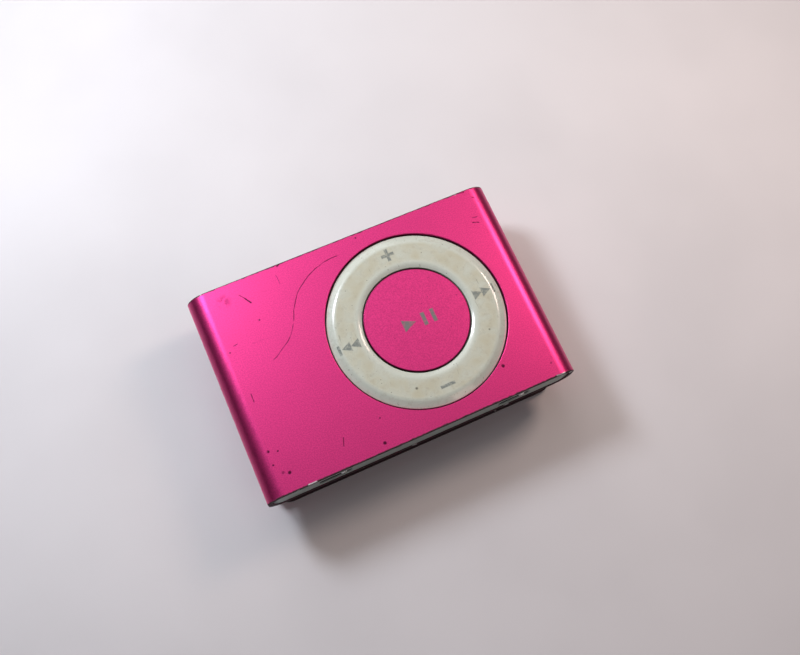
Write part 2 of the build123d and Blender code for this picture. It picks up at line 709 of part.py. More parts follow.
def make_clip_spring():
    """A torsion spring round the pin; its arms press the tab away from the back."""
    pitch = 2 * SPRING_HALF_LENGTH / SPRING_TURNS
    coil_path = Helix(pitch, 2 * SPRING_HALF_LENGTH, SPRING_COIL_RADIUS, lefthand=True)
    section = Plane(coil_path @ 0, z_dir=coil_path % 0) * Circle(SPRING_WIRE_RADIUS)
    coil = sweep(section, path=coil_path, is_frenet=True)
    coil = Pos(HINGE_X, SPRING_HALF_LENGTH, HINGE_Z) * Rot(90, 0, 0) * Rot(0, 0, 90) * coil
    upper_z = HINGE_Z + SPRING_COIL_RADIUS
    lower_z = HINGE_Z - SPRING_COIL_RADIUS
    tab_z = CLIP_THICKNESS + SPRING_WIRE_RADIUS + 0.02
    upper_arm = straight_wire(
        (HINGE_X, SPRING_HALF_LENGTH, upper_z),
        (HINGE_X - SPRING_UPPER_ARM, SPRING_HALF_LENGTH, upper_z),
    )
    lower_arm = straight_wire(
        (HINGE_X, -SPRING_HALF_LENGTH, lower_z),
        (HINGE_X - SPRING_LOWER_ARM, -SPRING_HALF_LENGTH, tab_z),
    )
    return coil + upper_arm + lower_arm


PARTS = {
    "shell": make_shell,
    "top_end_cap": make_top_end_cap,
    "bottom_end_cap": make_bottom_end_cap,
    "top_retainer": make_top_retainer,
    "bottom_retainer": make_bottom_retainer,
    "retainer_screws": make_retainer_screws,
    "left_rail": lambda: make_rail(-1),
    "right_rail": lambda: make_rail(1),
    "main_board": make_main_board,
    "processor_chip": lambda: on_board(PROCESSOR),
    "memory_chip": make_memory_chip,
    "power_chip": lambda: on_board(POWER_CHIP),
    "crystal": make_crystal,
    "passives": make_passives,
    "status_leds": make_status_leds,
    "top_light_pipe": lambda: make_light_pipe(TOP_LIGHT_X, 1),
    "bottom_light_pipe": lambda: make_light_pipe(BOTTOM_LIGHT_X, -1),
    "battery_cell": make_battery_cell,
    "battery_pad": make_battery_pad,
    "battery_tabs": make_battery_tabs,
    "headphone_jack": make_headphone_jack,
    "jack_contacts": make_jack_contacts,
    "control_ring": make_control_ring,
    "rocker_frame": make_rocker_frame,
    "play_button": make_play_button,
    "button_plunger": make_button_plunger,
    "ring_domes": make_ring_domes,
    "play_dome": lambda: make_dome(RING_X, 0),
    "power_switch_body": lambda: make_switch_body(POWER_SWITCH_X),
    "power_switch_knob": lambda: make_switch_knob(POWER_SWITCH_X),
    "order_switch_body": lambda: make_switch_body(ORDER_SWITCH_X),
    "order_switch_knob": lambda: make_switch_knob(ORDER_SWITCH_X),
    "clip_plate": make_clip_plate,
    "clip_jaw_strip": make_clip_jaw_strip,
    "clip_hinge_pin": make_clip_hinge_pin,
    "clip_bracket": make_clip_bracket,
    "clip_rivets": make_clip_rivets,
    "clip_spring": make_clip_spring,
}

for part_name, make in PARTS.items():
    save(part_name, make())
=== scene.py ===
"""The looks of a clip-on digital audio player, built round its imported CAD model."""

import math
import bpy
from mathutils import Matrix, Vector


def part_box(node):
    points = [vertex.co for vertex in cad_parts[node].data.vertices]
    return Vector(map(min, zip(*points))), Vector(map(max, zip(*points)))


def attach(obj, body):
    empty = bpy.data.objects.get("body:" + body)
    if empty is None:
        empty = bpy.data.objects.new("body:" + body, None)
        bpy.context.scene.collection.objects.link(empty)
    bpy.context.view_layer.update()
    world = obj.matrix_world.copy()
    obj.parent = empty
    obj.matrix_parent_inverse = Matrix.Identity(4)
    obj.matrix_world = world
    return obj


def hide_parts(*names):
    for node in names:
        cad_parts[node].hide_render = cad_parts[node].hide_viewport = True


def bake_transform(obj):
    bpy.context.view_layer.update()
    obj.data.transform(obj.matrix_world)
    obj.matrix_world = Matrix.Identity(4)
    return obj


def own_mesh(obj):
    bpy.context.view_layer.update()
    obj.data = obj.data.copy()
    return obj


bl_info = {
    "name": "Clip-on audio player",
    "version": (1, 0, 0),
    "blender": (4, 5, 0),
    "location": "3D View > Sidebar > Player",
    "description": "Builds the visible pieces, finishes and stage of a clip-on audio player",
    "category": "Add Mesh",
}

import bmesh
import bpy
from bpy.props import FloatProperty, FloatVectorProperty, PointerProperty
from mathutils import Matrix, Vector

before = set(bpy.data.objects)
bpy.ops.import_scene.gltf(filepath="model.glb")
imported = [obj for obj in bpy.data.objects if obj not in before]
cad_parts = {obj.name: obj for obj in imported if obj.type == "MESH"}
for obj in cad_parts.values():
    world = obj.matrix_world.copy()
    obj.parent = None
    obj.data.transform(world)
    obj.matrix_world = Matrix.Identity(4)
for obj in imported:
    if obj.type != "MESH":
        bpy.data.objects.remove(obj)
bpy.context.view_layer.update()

MM = 0.001


def span(node):
    """Lowest and highest corner of a CAD node, in millimetres."""
    low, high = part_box(node)
    return Vector(low) / MM, Vector(high) / MM


def middle_of(node):
    low, high = span(node)
    return (low + high) / 2


SHELL_LOW, SHELL_HIGH = span("shell")
RING_LOW, RING_HIGH = span("control_ring")
BUTTON_LOW, BUTTON_HIGH = span("play_button")
TOP_CAP_LOW, TOP_CAP_HIGH = span("top_end_cap")
LOW_CAP_LOW, LOW_CAP_HIGH = span("bottom_end_cap")
CLIP_LOW, CLIP_HIGH = span("clip_plate")
PIN_LOW, PIN_HIGH = span("clip_hinge_pin")
RING_CENTRE = middle_of("control_ring")
FRONT_Z = SHELL_HIGH.z
MIDDLE_Z = middle_of("shell").z
BUTTON_RADIUS = (BUTTON_HIGH.x - BUTTON_LOW.x) / 2


def linear(hex_colour):
    """An sRGB hex colour as linear red, green and blue."""
    parts = [int(hex_colour[i : i + 2], 16) / 255 for i in (0, 2, 4)]
    return [p / 12.92 if p <= 0.04045 else ((p + 0.055) / 1.055) ** 2.4 for p in parts]


def ink(colour, strength=1.0):
    """A linear colour made lighter or darker, with full cover."""
    return (*[min(1.0, channel * strength) for channel in colour[:3]], 1.0)


# ---------------------------------------------------------------- settings


class PlayerFinish(bpy.types.PropertyGroup):
    """Colours of the player's finishes."""

    anodise: FloatVectorProperty(
        name="Anodised colour",
        description="Dye colour of the anodised sleeve, clip and play button",
        subtype="COLOR",
        size=3,
        default=linear("E64389"),
    )
    ring: FloatVectorProperty(
        name="Ring plastic",
        description="Body colour of the control ring",
        subtype="COLOR",
        size=3,
        default=linear("C2C9BB"),
    )
    yellowing: FloatVectorProperty(
        name="Ring yellowing",
        description="Colour that the middle of the ring has aged to",
        subtype="COLOR",
        size=3,
        default=linear("B6B398"),
    )
    print_grey: FloatVectorProperty(
        name="Icon print",
        description="Colour of the printed icons",
        subtype="COLOR",
        size=3,
        default=linear("6A736E"),
    )
    cap: FloatVectorProperty(
        name="End cap plastic",
        description="Colour of the two end caps",
        subtype="COLOR",
        size=3,
        default=linear("A3AEA8"),
    # This colour serves for grime and also for painted shade: on cut ends and rims turned from
    # the lights, in the gaps round the ring and in the end caps' recesses.
    )
    grime_and_shade: FloatVectorProperty(
        name="Grime_and_shade",
        description="Colour of the dirt along cut edges and in gaps",
        subtype="COLOR",
        size=3,
        default=linear("12201C"),
    )


class PlayerShape(bpy.types.PropertyGroup):
    """Sizes of the player's visible surfaces."""

    wall: FloatProperty(
        name="Sleeve wall",
        description="Thickness of the extruded sleeve",
        unit="LENGTH",
        default=0.7 * MM,
    )
    bend_radius: FloatProperty(
        name="Bend radius",
        description="Outer radius of the sleeve's two short sides",
        unit="LENGTH",
        default=2.45 * MM,
    )
    edge_break: FloatProperty(
        name="Edge break",
        description="Width of the worn rounding on cut metal edges",
        unit="LENGTH",
        default=0.08 * MM,
    )
    ring_hole_radius: FloatProperty(
        name="Ring hole radius",
        description="Radius of the hole in the front that shows the ring",
        unit="LENGTH",
        default=11.44 * MM,
    )
    ring_outer_radius: FloatProperty(
        name="Ring radius",
        description="Outer radius of the ring's visible face",
        unit="LENGTH",
        default=11.28 * MM,
    )
    ring_inner_radius: FloatProperty(
        name="Ring inner radius",
        description="Radius of the hole in the ring round the play button",
        unit="LENGTH",
        default=6.83 * MM,
    )
    clip_thickness: FloatProperty(
        name="Clip thickness",
        description="Thickness of the bent clip plate",
        unit="LENGTH",
        default=0.9 * MM,
    )
    clip_corner: FloatProperty(
        name="Clip corner radius",
        description="Radius of the clip plate's corners seen from above",
        unit="LENGTH",
        default=2.8 * MM,
    )


class PlayerStage(bpy.types.PropertyGroup):
    """Camera and light."""

    camera_place: FloatVectorProperty(
        name="Camera",
        description="Where the camera stands",
        subtype="XYZ",
        unit="LENGTH",
        size=3,
        default=(-0.014915, -0.02632, 0.116684),
    )
    camera_target: FloatVectorProperty(
        name="Looks at",
        description="The point in the middle of the picture",
        subtype="XYZ",
        unit="LENGTH",
        size=3,
        default=(0.002463, -0.000156, 0.01035),
    )
    camera_roll: FloatProperty(
        name="Roll",
        description="Turn of the camera about its own line of sight",
        subtype="ANGLE",
        default=math.radians(9.866),
    )
    lens: FloatProperty(
        name="Lens",
        description="Focal length in millimetres on a 36 mm sensor",
        default=40.3,
    )
    floor_colour: FloatVectorProperty(
        name="Floor",
        description="Colour of the plain floor",
        subtype="COLOR",
        size=3,
        default=linear("DCDADA"),
    )


# ---------------------------------------------------------------- mesh tools


def rounded_bar(low, high, radius=0.0, segments=16, axis="Y"):
    """A bar along Y or Z whose section has rounded corners."""
    size, centre = Vector(high) - Vector(low), (Vector(high) + Vector(low)) / 2
    wide, tall, length = (size.x, size.z, size.y) if axis == "Y" else (size.x, size.y, size.z)
    made = bmesh.new()
    bmesh.ops.create_grid(made, x_segments=1, y_segments=1, size=0.5)
    bmesh.ops.scale(made, vec=(wide, tall, 1), verts=made.verts)
    if radius > 0:
        bmesh.ops.bevel(
            made,
            geom=made.verts[:],
            offset=radius,
            segments=segments,
            profile=0.5,
            affect="VERTICES",
            material=-1,
        )
    bmesh.ops.translate(made, vec=(0, 0, -length / 2), verts=made.verts)
    lifted = bmesh.ops.extrude_face_region(made, geom=made.faces[:])
    moved = [part for part in lifted["geom"] if isinstance(part, bmesh.types.BMVert)]
    bmesh.ops.translate(made, vec=(0, 0, length), verts=moved)
    if axis == "Y":
        bmesh.ops.rotate(made, matrix=Matrix.Rotation(math.pi / 2, 3, "X"), verts=made.verts)
    bmesh.ops.translate(made, vec=centre, verts=made.verts)
    bmesh.ops.recalc_face_normals(made, faces=made.faces)
    return made


def round_bar(first, second, radius, low, high, axis="Z", segments=96):
    """A cylinder along Y or Z; its axis passes through two coordinates of the others."""
    made = bmesh.new()
    bmesh.ops.create_cone(
        made, cap_ends=True, segments=segments, radius1=radius, radius2=radius, depth=high - low
    )
    place = (first, second, (low + high) / 2)
    if axis == "Y":
        bmesh.ops.rotate(made, matrix=Matrix.Rotation(math.pi / 2, 3, "X"), verts=made.verts)
        place = (first, (low + high) / 2, second)
    bmesh.ops.translate(made, vec=place, verts=made.verts)
    return made


def turned(profile, centre, segments):
    """A closed outline of (radius, height) points spun about an upright axis."""
    made = bmesh.new()
    verts = [made.verts.new((radius, 0, height)) for radius, height in profile]
    for start, end in zip(verts, verts[1:] + verts[:1]):
        made.edges.new((start, end))
    bmesh.ops.spin(
        made,
        geom=made.verts[:] + made.edges[:],
        cent=(0, 0, 0),
        axis=(0, 0, 1),
        angle=2 * math.pi,
        steps=segments,
        use_merge=True,
    )
    bmesh.ops.remove_doubles(made, verts=made.verts, dist=1e-5)
    bmesh.ops.recalc_face_normals(made, faces=made.faces)
    bmesh.ops.translate(made, vec=(centre.x, centre.y, 0), verts=made.verts)
    return made


def loose_object(made):
    """A mesh as a plain object, for a cut or a join."""
    mesh = bpy.data.meshes.new("blank")
    made.to_mesh(mesh)
    made.free()
    blank = bpy.data.objects.new("blank", mesh)
    bpy.context.scene.collection.objects.link(blank)
    return blank


def worked(blank, tools, operation="DIFFERENCE"):
    """A blank after each tool is cut from it, joined to it or kept in common with it."""
    work = loose_object(blank)
    helpers = [loose_object(tool) for tool in tools]
    for helper in helpers:
        cut = work.modifiers.new("cut", "BOOLEAN")
        cut.operation = operation
        cut.solver = "EXACT"
        cut.object = helper
    graph = bpy.context.evaluated_depsgraph_get()
    result = bmesh.new()
    result.from_mesh(work.evaluated_get(graph).to_mesh())
    for spare in [work, *helpers]:
        mesh = spare.data
        bpy.data.objects.remove(spare)
        bpy.data.meshes.remove(mesh)
    if not result.faces:
        raise RuntimeError("nothing is left of a piece after its cuts")
    bmesh.ops.remove_doubles(result, verts=result.verts, dist=1e-4)
    return result


def break_edges(made, width, segments=2, angle=40):
    """Rounds every edge that is sharper than an angle in degrees."""
    sharp = [
        edge
        for edge in made.edges
        if len(edge.link_faces) == 2 and edge.calc_face_angle(0) > math.radians(angle)
    ]
    bmesh.ops.bevel(
        made,
        geom=sharp,
        offset=width,
        segments=segments,
        profile=0.5,
        affect="EDGES",
        material=-1,
        clamp_overlap=True,
    )
    return made


def piece(name, made, body, material, node, sharp_angle=38):
    """Turns a mesh in millimetres into a finished piece that stands for a CAD node.
    """
    bmesh.ops.scale(made, vec=(MM, MM, MM), verts=made.verts)
    mesh = bpy.data.meshes.new(name)
    made.to_mesh(mesh)
    made.free()
    mesh.shade_smooth()
    mesh.set_sharp_from_angle(angle=math.radians(sharp_angle))
    mesh.materials.append(material)
    obj = bpy.data.objects.new(name, mesh)
    bpy.context.scene.collection.objects.link(obj)
    normals = obj.modifiers.new("flat faces stay flat", "WEIGHTED_NORMAL")
    normals.keep_sharp = True
    if body:
        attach(obj, body)
    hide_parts(node)
    return obj


def dress(material, *nodes):
    """Gives CAD nodes that keep their own shape a finish."""
    for name in nodes:
        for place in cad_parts[name].material_slots:
            place.material = material


# ------------------------------------------------------------ material tools


def add(tree, kind, *values, **settings):
    """Adds a node with its settings, fills its open inputs in order, gives its first output."""
    made = tree.nodes.new("ShaderNode" + kind)
    for name, value in settings.items():
        setattr(made, name, value)
    for socket, value in zip([s for s in made.inputs if s.enabled], values):
        if isinstance(value, bpy.types.NodeSocket):
            tree.links.new(value, socket)
        elif value is not None:
            socket.default_value = value
    return next((socket for socket in made.outputs if socket.enabled), None)


def start_material(name, **values):
    """A material with one shader, and the object's own place in millimetres."""
    made = bpy.data.materials.new(name)
    made.use_nodes = True
    tree = made.node_tree
    tree.nodes.clear()
    surface = add(tree, "BsdfPrincipled")
    add(tree, "OutputMaterial", surface)
    shader = surface.node
    for key, value in values.items():
        shader.inputs[key.replace("_", " ")].default_value = value
    place = add(tree, "TexCoord").node.outputs["Object"]
    point = add(tree, "VectorMath", place, 1 / MM, operation="SCALE")
    return made, tree, shader, point


def finish_material(tree, shader, colour, roughness, height, depth):
    """Joins a colour, a roughness and a relief of a depth in millimetres to a shader."""
    tree.links.new(colour, shader.inputs["Base Color"])
    tree.links.new(roughness, shader.inputs["Roughness"])
    relief = tree.nodes.new("ShaderNodeBump")
    relief.inputs["Distance"].default_value = depth * MM
    tree.links.new(height, relief.inputs["Height"])
    tree.links.new(relief.outputs[0], shader.inputs["Normal"])


SMOOTH = {"interpolation_type": "SMOOTHSTEP"}
COLOURS = {"data_type": "RGBA"}
SOFT_EDGE = 0.06


def strongest(tree, masks):
    """The strongest of several masks."""
    total = masks[0]
    for mask in masks[1:]:
        total = add(tree, "Math", total, mask, operation="MAXIMUM")
    return total


def end_distance(tree, point, drift):
    """Distance from the middle along Y, made ragged by up to half of drift millimetres."""
    y = add(tree, "SeparateXYZ", point).node.outputs[1]
    ragged = add(tree, "TexNoise", point, 1 / 0.5, 4.0)
    offset = add(tree, "Math", ragged, drift, -drift / 2, operation="MULTIPLY_ADD")
    reach = add(tree, "Math", y, operation="ABSOLUTE")
    return add(tree, "Math", reach, offset, operation="ADD")


def bar_mask(tree, point, centre, half):
    """1 inside an upright rectangle on the front."""
    shifted = add(tree, "VectorMath", point, (*centre, 0), operation="SUBTRACT")
    folded = add(tree, "VectorMath", shifted, operation="ABSOLUTE")
    outside = add(tree, "VectorMath", folded, (*half, 0), operation="SUBTRACT")
    sides = add(tree, "SeparateXYZ", outside).node.outputs
    distance = add(tree, "Math", sides[0], sides[1], operation="MAXIMUM")
    return add(tree, "MapRange", distance, SOFT_EDGE, -SOFT_EDGE, **SMOOTH)


def arrow_mask(tree, point, base, tip, half, middle):
    """1 inside a triangle on the front with its base and its tip at two places along X."""
    way, length = math.copysign(1.0, tip - base), abs(tip - base)
    slant = math.hypot(length, half)
    sides = add(tree, "SeparateXYZ", point).node.outputs
    along = add(tree, "Math", sides[0], way, -base * way, operation="MULTIPLY_ADD")
    off = add(tree, "Math", sides[1], middle, operation="SUBTRACT")
    off = add(tree, "Math", off, operation="ABSOLUTE")
    reach = add(
        tree, "Math", along, half / slant, -length * half / slant, operation="MULTIPLY_ADD"
    )
    flank = add(tree, "Math", off, length / slant, reach, operation="MULTIPLY_ADD")
    behind = add(tree, "Math", along, -1.0, operation="MULTIPLY")
    distance = add(tree, "Math", flank, behind, operation="MAXIMUM")
    return add(tree, "MapRange", distance, SOFT_EDGE, -SOFT_EDGE, **SMOOTH)


def spot_mask(tree, point, x, y, radius):
    """1 inside a round spot on the front."""
    distance = add(tree, "VectorMath", point, (x, y, FRONT_Z), operation="DISTANCE")
    return add(tree, "MapRange", distance, radius * 1.7, radius * 0.8, **SMOOTH)


def line_mask(tree, point, start, end, width, height=FRONT_Z):
    """1 along a straight scratch from one point to another."""
    start, end = Vector((*start, height)), Vector((*end, height))
    run = end - start
    offset = add(tree, "VectorMath", point, start, operation="SUBTRACT")
    share = add(
        tree, "VectorMath", offset, run / run.length_squared, operation="DOT_PRODUCT"
    )
    share = add(tree, "Clamp", share, 0.0, 1.0)
    nearest = add(tree, "VectorMath", run, share, operation="SCALE")
    distance = add(tree, "VectorMath", offset, nearest, operation="DISTANCE")
    return add(tree, "MapRange", distance, width, width * 0.3, **SMOOTH)


def arc_mask(tree, point, centre, radius, start, end, width):
    """1 along a scratch that is part of a circle, between two headings in degrees."""
    middle, half = math.radians((start + end) / 2), math.radians(abs(end - start) / 2)
    offset = add(tree, "VectorMath", point, (*centre, FRONT_Z), operation="SUBTRACT")
    reach = add(tree, "VectorMath", offset, operation="LENGTH")
    gap = add(tree, "Math", reach, radius, operation="SUBTRACT")
    gap = add(tree, "Math", gap, operation="ABSOLUTE")
    line = add(tree, "MapRange", gap, width, width * 0.3, **SMOOTH)
    aim = (math.cos(middle), math.sin(middle), 0)
    facing = add(tree, "VectorMath", offset, aim, operation="DOT_PRODUCT")
    edge = radius * math.cos(half)
    ends = add(tree, "MapRange", facing, edge, edge + 0.03 * radius, **SMOOTH)
    return add(tree, "Math", line, ends, operation="MULTIPLY")


# ----------------------------------------------------------------- finishes


def anodised_base(tree, point, finish):
    """Dyed, bead-blasted metal: an even satin with a fine sparkle.

    The blasting is about 0.05 mm across and is drawn at 0.15 mm, so that it shows. The colour is
    darkened towards a deep burgundy as the surface turns away from the view, a painted shade
    that stands for the dark room these faces would reflect, and at the most grazing angles this
    painted shade fades again.
    """
    speck = add(tree, "TexNoise", point, 1 / 0.15, 2.0, 0.6)
    cloud = add(tree, "TexNoise", point, 1 / 5.0, 3.0)
    lift = add(tree, "MapRange", speck, 0.3, 0.7, **SMOOTH)
    blasted = add(
        tree, "Mix", lift, ink(finish.anodise, 0.86), ink(finish.anodise, 1.08), **COLOURS
    )
    haze = add(tree, "MapRange", cloud, 0.35, 0.8, 0.0, 0.15, **SMOOTH)
    colour = add(tree, "Mix", haze, blasted, ink(finish.anodise, 0.78), **COLOURS)
    # Painted shade: the colour darkens as the surface turns from the view, and darkens less
    # again where it only grazes.
    facing = add(tree, "LayerWeight", 0.5).node.outputs["Facing"]
    slant = add(tree, "MapRange", facing, 0.1, 0.42, 0.0, 0.45, **SMOOTH)
    grazing_shade_fade = add(tree, "MapRange", facing, 0.5, 0.75, 1.0, 0.15, **SMOOTH)
    slant = add(tree, "Math", slant, grazing_shade_fade, operation="MULTIPLY")
    colour = add(tree, "Mix", slant, colour, ink(linear("480C26")), **COLOURS)
    roughness = add(tree, "MapRange", speck, 0.25, 0.75, 0.33, 0.43)
    return colour, speck, roughness


PITS = (
    (-18.08, -7.93, 0.13),
    (-17.02, -8.3, 0.09),
    (-18.2, -9.65, 0.1),
    (-17.39, -10.93, 0.14),
    (-16.69, -11.24, 0.16),
    (-13.1, 7.6, 0.08),
    (-17.87, 5.1, 0.08),
    (-5.06, -12.5, 0.16),
    (12.15, -9.7, 0.17),
    (11.86, -7.5, 0.08),
    (17.74, -11.7, 0.1),
    (18.75, 11.43, 0.09),
    (-4.4, -9.5, 0.07),
    (2.1, 12.9, 0.08),
)
DASHES = (
    ((-14.18, 11.59), (-13.66, 10.88), 0.07),
    ((-13.66, 10.88), (-13.2, 10.03), 0.13),
    ((17.04, 9.62), (17.65, 9.5), 0.08),
    ((16.86, 8.98), (17.58, 8.68), 0.1),
    ((18.2, 12.2), (18.7, 12.05), 0.07),
    ((-17.2, 5.75), (-16.7, 5.8), 0.08),
    ((-17.39, -0.7), (-17.4, -1.7), 0.08),
    ((-9.32, -9.95), (-9.64, -10.94), 0.07),
    ((-8.03, 13.5), (-8.5, 13.25), 0.16),
    ((16.8, 13.4), (17.5, 13.3), 0.14),
    ((-9.1, 12.3), (-9.0, 11.0), 0.035),
)


def anodised_sleeve(finish):
    """Extruded aluminium, blasted and anodised: satin, with grimy, chipped cut edges that also
    carry painted shade.
    """
    made, tree, shader, point = start_material("anodised_blasted_aluminium", Metallic=1.0)
    colour, speck, roughness = anodised_base(tree, point, finish)
    height = add(tree, "SeparateXYZ", point).node.outputs[2]
    front = add(tree, "MapRange", height, FRONT_Z - 0.15, FRONT_Z - 0.04, **SMOOTH)

    # Scratches wander by up to 0.15 mm, as a key or a coin leaves them.
    drift = add(tree, "TexNoise", point, 1 / 1.8, 3.0).node.outputs["Color"]
    drift = add(tree, "VectorMath", drift, (0.5, 0.5, 0.5), operation="SUBTRACT")
    drift = add(tree, "VectorMath", drift, (0.35, 0.35, 0.0), operation="MULTIPLY")
    loose = add(tree, "VectorMath", point, drift, operation="ADD")
    marks = [spot_mask(tree, loose, *pit) for pit in PITS]
    marks += [line_mask(tree, loose, start, end, width) for start, end, width in DASHES]
    marks.append(arc_mask(tree, loose, (-1.31, 3.36), 8.24, 86, 164, 0.07))
    marks.append(arc_mask(tree, loose, (-16.42, 10.03), 8.39, -71, -31, 0.07))
    fine = add(tree, "Mapping", point, None, (0, 0, 0.5), (0.1, 1.0, 1.0))
    fine = add(tree, "TexNoise", fine, 1 / 0.3, 1.0)
    marks.append(add(tree, "MapRange", fine, 0.74, 0.8, 0.0, 0.1, **SMOOTH))
    dark = strongest(tree, marks)
    dark = add(tree, "Math", dark, front, operation="MULTIPLY")
    broken = add(tree, "TexNoise", point, 1 / 0.8, 2.0)
    broken = add(tree, "MapRange", broken, 0.34, 0.5, 0.5, 0.95, **SMOOTH)
    mark = add(tree, "Math", dark, broken, operation="MULTIPLY")
    colour = add(tree, "Mix", mark, colour, ink(linear("4E1A34")), **COLOURS)

    # A patch by the left corner where the dye is rubbed and stained.
    patch = add(tree, "VectorMath", point, (-16.2, 11.5, FRONT_Z), operation="DISTANCE")
    patch = add(tree, "MapRange", patch, 1.2, 0.2, **SMOOTH)
    mottle = add(tree, "TexNoise", point, 1 / 0.5, 4.0)
    mottle = add(tree, "MapRange", mottle, 0.46, 0.6, 0.0, 0.55, **SMOOTH)
    patch = add(tree, "Math", patch, mottle, operation="MULTIPLY")
    colour = add(tree, "Mix", patch, colour, ink(linear("7A1C48")), **COLOURS)

    # The cut ends are darkened with grime and with painted shade, for end faces turned away from
    # the lights.
    edge = end_distance(tree, point, 0.3)
    limit = SHELL_HIGH.y
    dirt_and_shade = add(tree, "MapRange", edge, limit - 0.2, limit - 0.08, 0.0, 0.94, **SMOOTH)
    colour = add(tree, "Mix", dirt_and_shade, colour, ink(finish.grime_and_shade), **COLOURS)
    places = add(tree, "TexNoise", point, 1 / 1.3, 3.0)
    chips = add(tree, "MapRange", places, 0.66, 0.69, **SMOOTH)
    rim = add(tree, "MapRange", edge, limit - 0.2, limit - 0.1, **SMOOTH)
    chips = add(tree, "Math", chips, rim, operation="MULTIPLY")
    near = -limit + 0.05
    bare = [chips]
    bare.append(line_mask(tree, loose, (-15.2, near), (-14.3, near - 0.05), 0.2))
    bare.append(line_mask(tree, loose, (17.7, near + 0.1), (18.8, near), 0.15, FRONT_Z - 0.1))
    bare = strongest(tree, bare)
    colour = add(tree, "Mix", bare, colour, ink(linear("DCDCDC")), **COLOURS)

    metal = add(tree, "Math", dirt_and_shade, -0.95, 1.0, operation="MULTIPLY_ADD")
    metal = add(tree, "Math", metal, bare, operation="MAXIMUM")
    roughness = add(tree, "Math", dirt_and_shade, 0.45, roughness, operation="MULTIPLY_ADD")
    tree.links.new(metal, shader.inputs["Metallic"])
    relief = add(tree, "Math", dark, -0.3, speck, operation="MULTIPLY_ADD")
    finish_material(tree, shader, colour, roughness, relief, 0.006)
    return made


def anodised_clip(finish):
    """The same dyed aluminium on the clip, darkened along its rim with painted shade and grime,
    and scuffed underneath.
    """
    made, tree, shader, point = start_material("anodised_blasted_aluminium_clip", Metallic=1.0)
    colour, speck, roughness = anodised_base(tree, point, finish)
    # Painted shade mixed with grime: the rim darkens almost to black where it sits in shadow
    # under the body.
    edge = end_distance(tree, point, 0.25)
    limit = CLIP_HIGH.y
    dirt_and_shade = add(tree, "MapRange", edge, limit - 0.45, limit - 0.2, 0.0, 0.96, **SMOOTH)
    colour = add(tree, "Mix", dirt_and_shade, colour, ink(finish.grime_and_shade), **COLOURS)
    rub = add(tree, "TexNoise", point, 1 / 1.4, 4.0)
    rub = add(tree, "MapRange", rub, 0.64, 0.7, **SMOOTH)
    rim = add(tree, "MapRange", edge, limit - 0.3, limit - 0.15, 0.0, 0.8, **SMOOTH)
    rub = add(tree, "Math", rub, rim, operation="MULTIPLY")
    colour = add(tree, "Mix", rub, colour, ink(linear("A8A8AC")), **COLOURS)
    streak = add(tree, "Mapping", point, None, None, (0.08, 1.0, 1.0))
    streak = add(tree, "TexNoise", streak, 1 / 0.4, 2.0)
    streak = add(tree, "MapRange", streak, 0.64, 0.72, 0.0, 0.6, **SMOOTH)
    height = add(tree, "SeparateXYZ", point).node.outputs[2]
    under = add(tree, "MapRange", height, 0.15, 0.02, **SMOOTH)
    streak = add(tree, "Math", streak, under, operation="MULTIPLY")
    colour = add(tree, "Mix", streak, colour, ink(linear("C9A0B0")), **COLOURS)
    metal = add(tree, "Math", dirt_and_shade, -0.9, 1.0, operation="MULTIPLY_ADD")
    tree.links.new(metal, shader.inputs["Metallic"])
    roughness = add(tree, "Math", dirt_and_shade, 0.45, roughness, operation="MULTIPLY_ADD")
    finish_material(tree, shader, colour, roughness, speck, 0.006)
    return made


def anodised_button(finish):
    """The play button: the same dyed aluminium with a printed play and pause sign."""
    made, tree, shader, point = start_material("anodised_blasted_aluminium_printed")
    colour, speck, roughness = anodised_base(tree, point, finish)
    signs = [
        arrow_mask(tree, point, 2.9, 4.6, 0.8, -0.2),
        bar_mask(tree, point, (5.72, -0.28), (0.25, 0.86)),
        bar_mask(tree, point, (6.98, -0.26), (0.25, 0.86)),
    ]
    worn = add(tree, "TexNoise", point, 1 / 0.4, 3.0)
    worn = add(tree, "MapRange", worn, 0.3, 0.5, 0.6, 0.95, **SMOOTH)
    sign = add(tree, "Math", strongest(tree, signs), worn, operation="MULTIPLY")
    colour = add(tree, "Mix", sign, colour, ink(finish.print_grey), **COLOURS)
    # Painted shade: the button's outer rim is darkened where it drops into the gap round the
    # ring.
    centre = (RING_CENTRE.x, RING_CENTRE.y, BUTTON_HIGH.z)
    reach = add(tree, "VectorMath", point, centre, operation="DISTANCE")
    rim = add(
        tree, "MapRange", reach, BUTTON_RADIUS - 0.2, BUTTON_RADIUS - 0.03, 0.0, 0.9, **SMOOTH
    )
    colour = add(tree, "Mix", rim, colour, ink(linear("2A1018")), **COLOURS)
    specks = add(tree, "TexNoise", point, 1 / 0.35, 1.0)
    specks = add(tree, "MapRange", specks, 0.75, 0.8, 0.0, 0.5, **SMOOTH)
    colour = add(tree, "Mix", specks, colour, ink(linear("5A1C38")), **COLOURS)
    metal = add(tree, "Math", sign, -0.85, 1.0, operation="MULTIPLY_ADD")
    tree.links.new(metal, shader.inputs["Metallic"])
    relief = add(tree, "Math", speck, sign, operation="ADD")
    finish_material(tree, shader, colour, roughness, relief, 0.006)
    return made


ICON_RADIUS = 9.13
TRACK_ICON_RADIUS = 9.15


def ring_icons(tree, point):
    """Plus, minus, previous and next signs round the ring."""
    x, y = RING_CENTRE.x, RING_CENTRE.y
    signs = [
        bar_mask(tree, point, (x, y + ICON_RADIUS), (0.84, 0.21)),
        bar_mask(tree, point, (x, y + ICON_RADIUS), (0.21, 0.84)),
        bar_mask(tree, point, (x, y - ICON_RADIUS), (0.95, 0.2)),
    ]
    for way in (-1, 1):
        centre = x + way * TRACK_ICON_RADIUS
        for start in (-1.4, -0.25):
            base, tip = centre + way * start, centre + way * (start + 1.2)
            signs.append(arrow_mask(tree, point, base, tip, 0.64, y))
        signs.append(bar_mask(tree, point, (centre + way * 1.28, y), (0.17, 0.62)))
    return strongest(tree, signs)


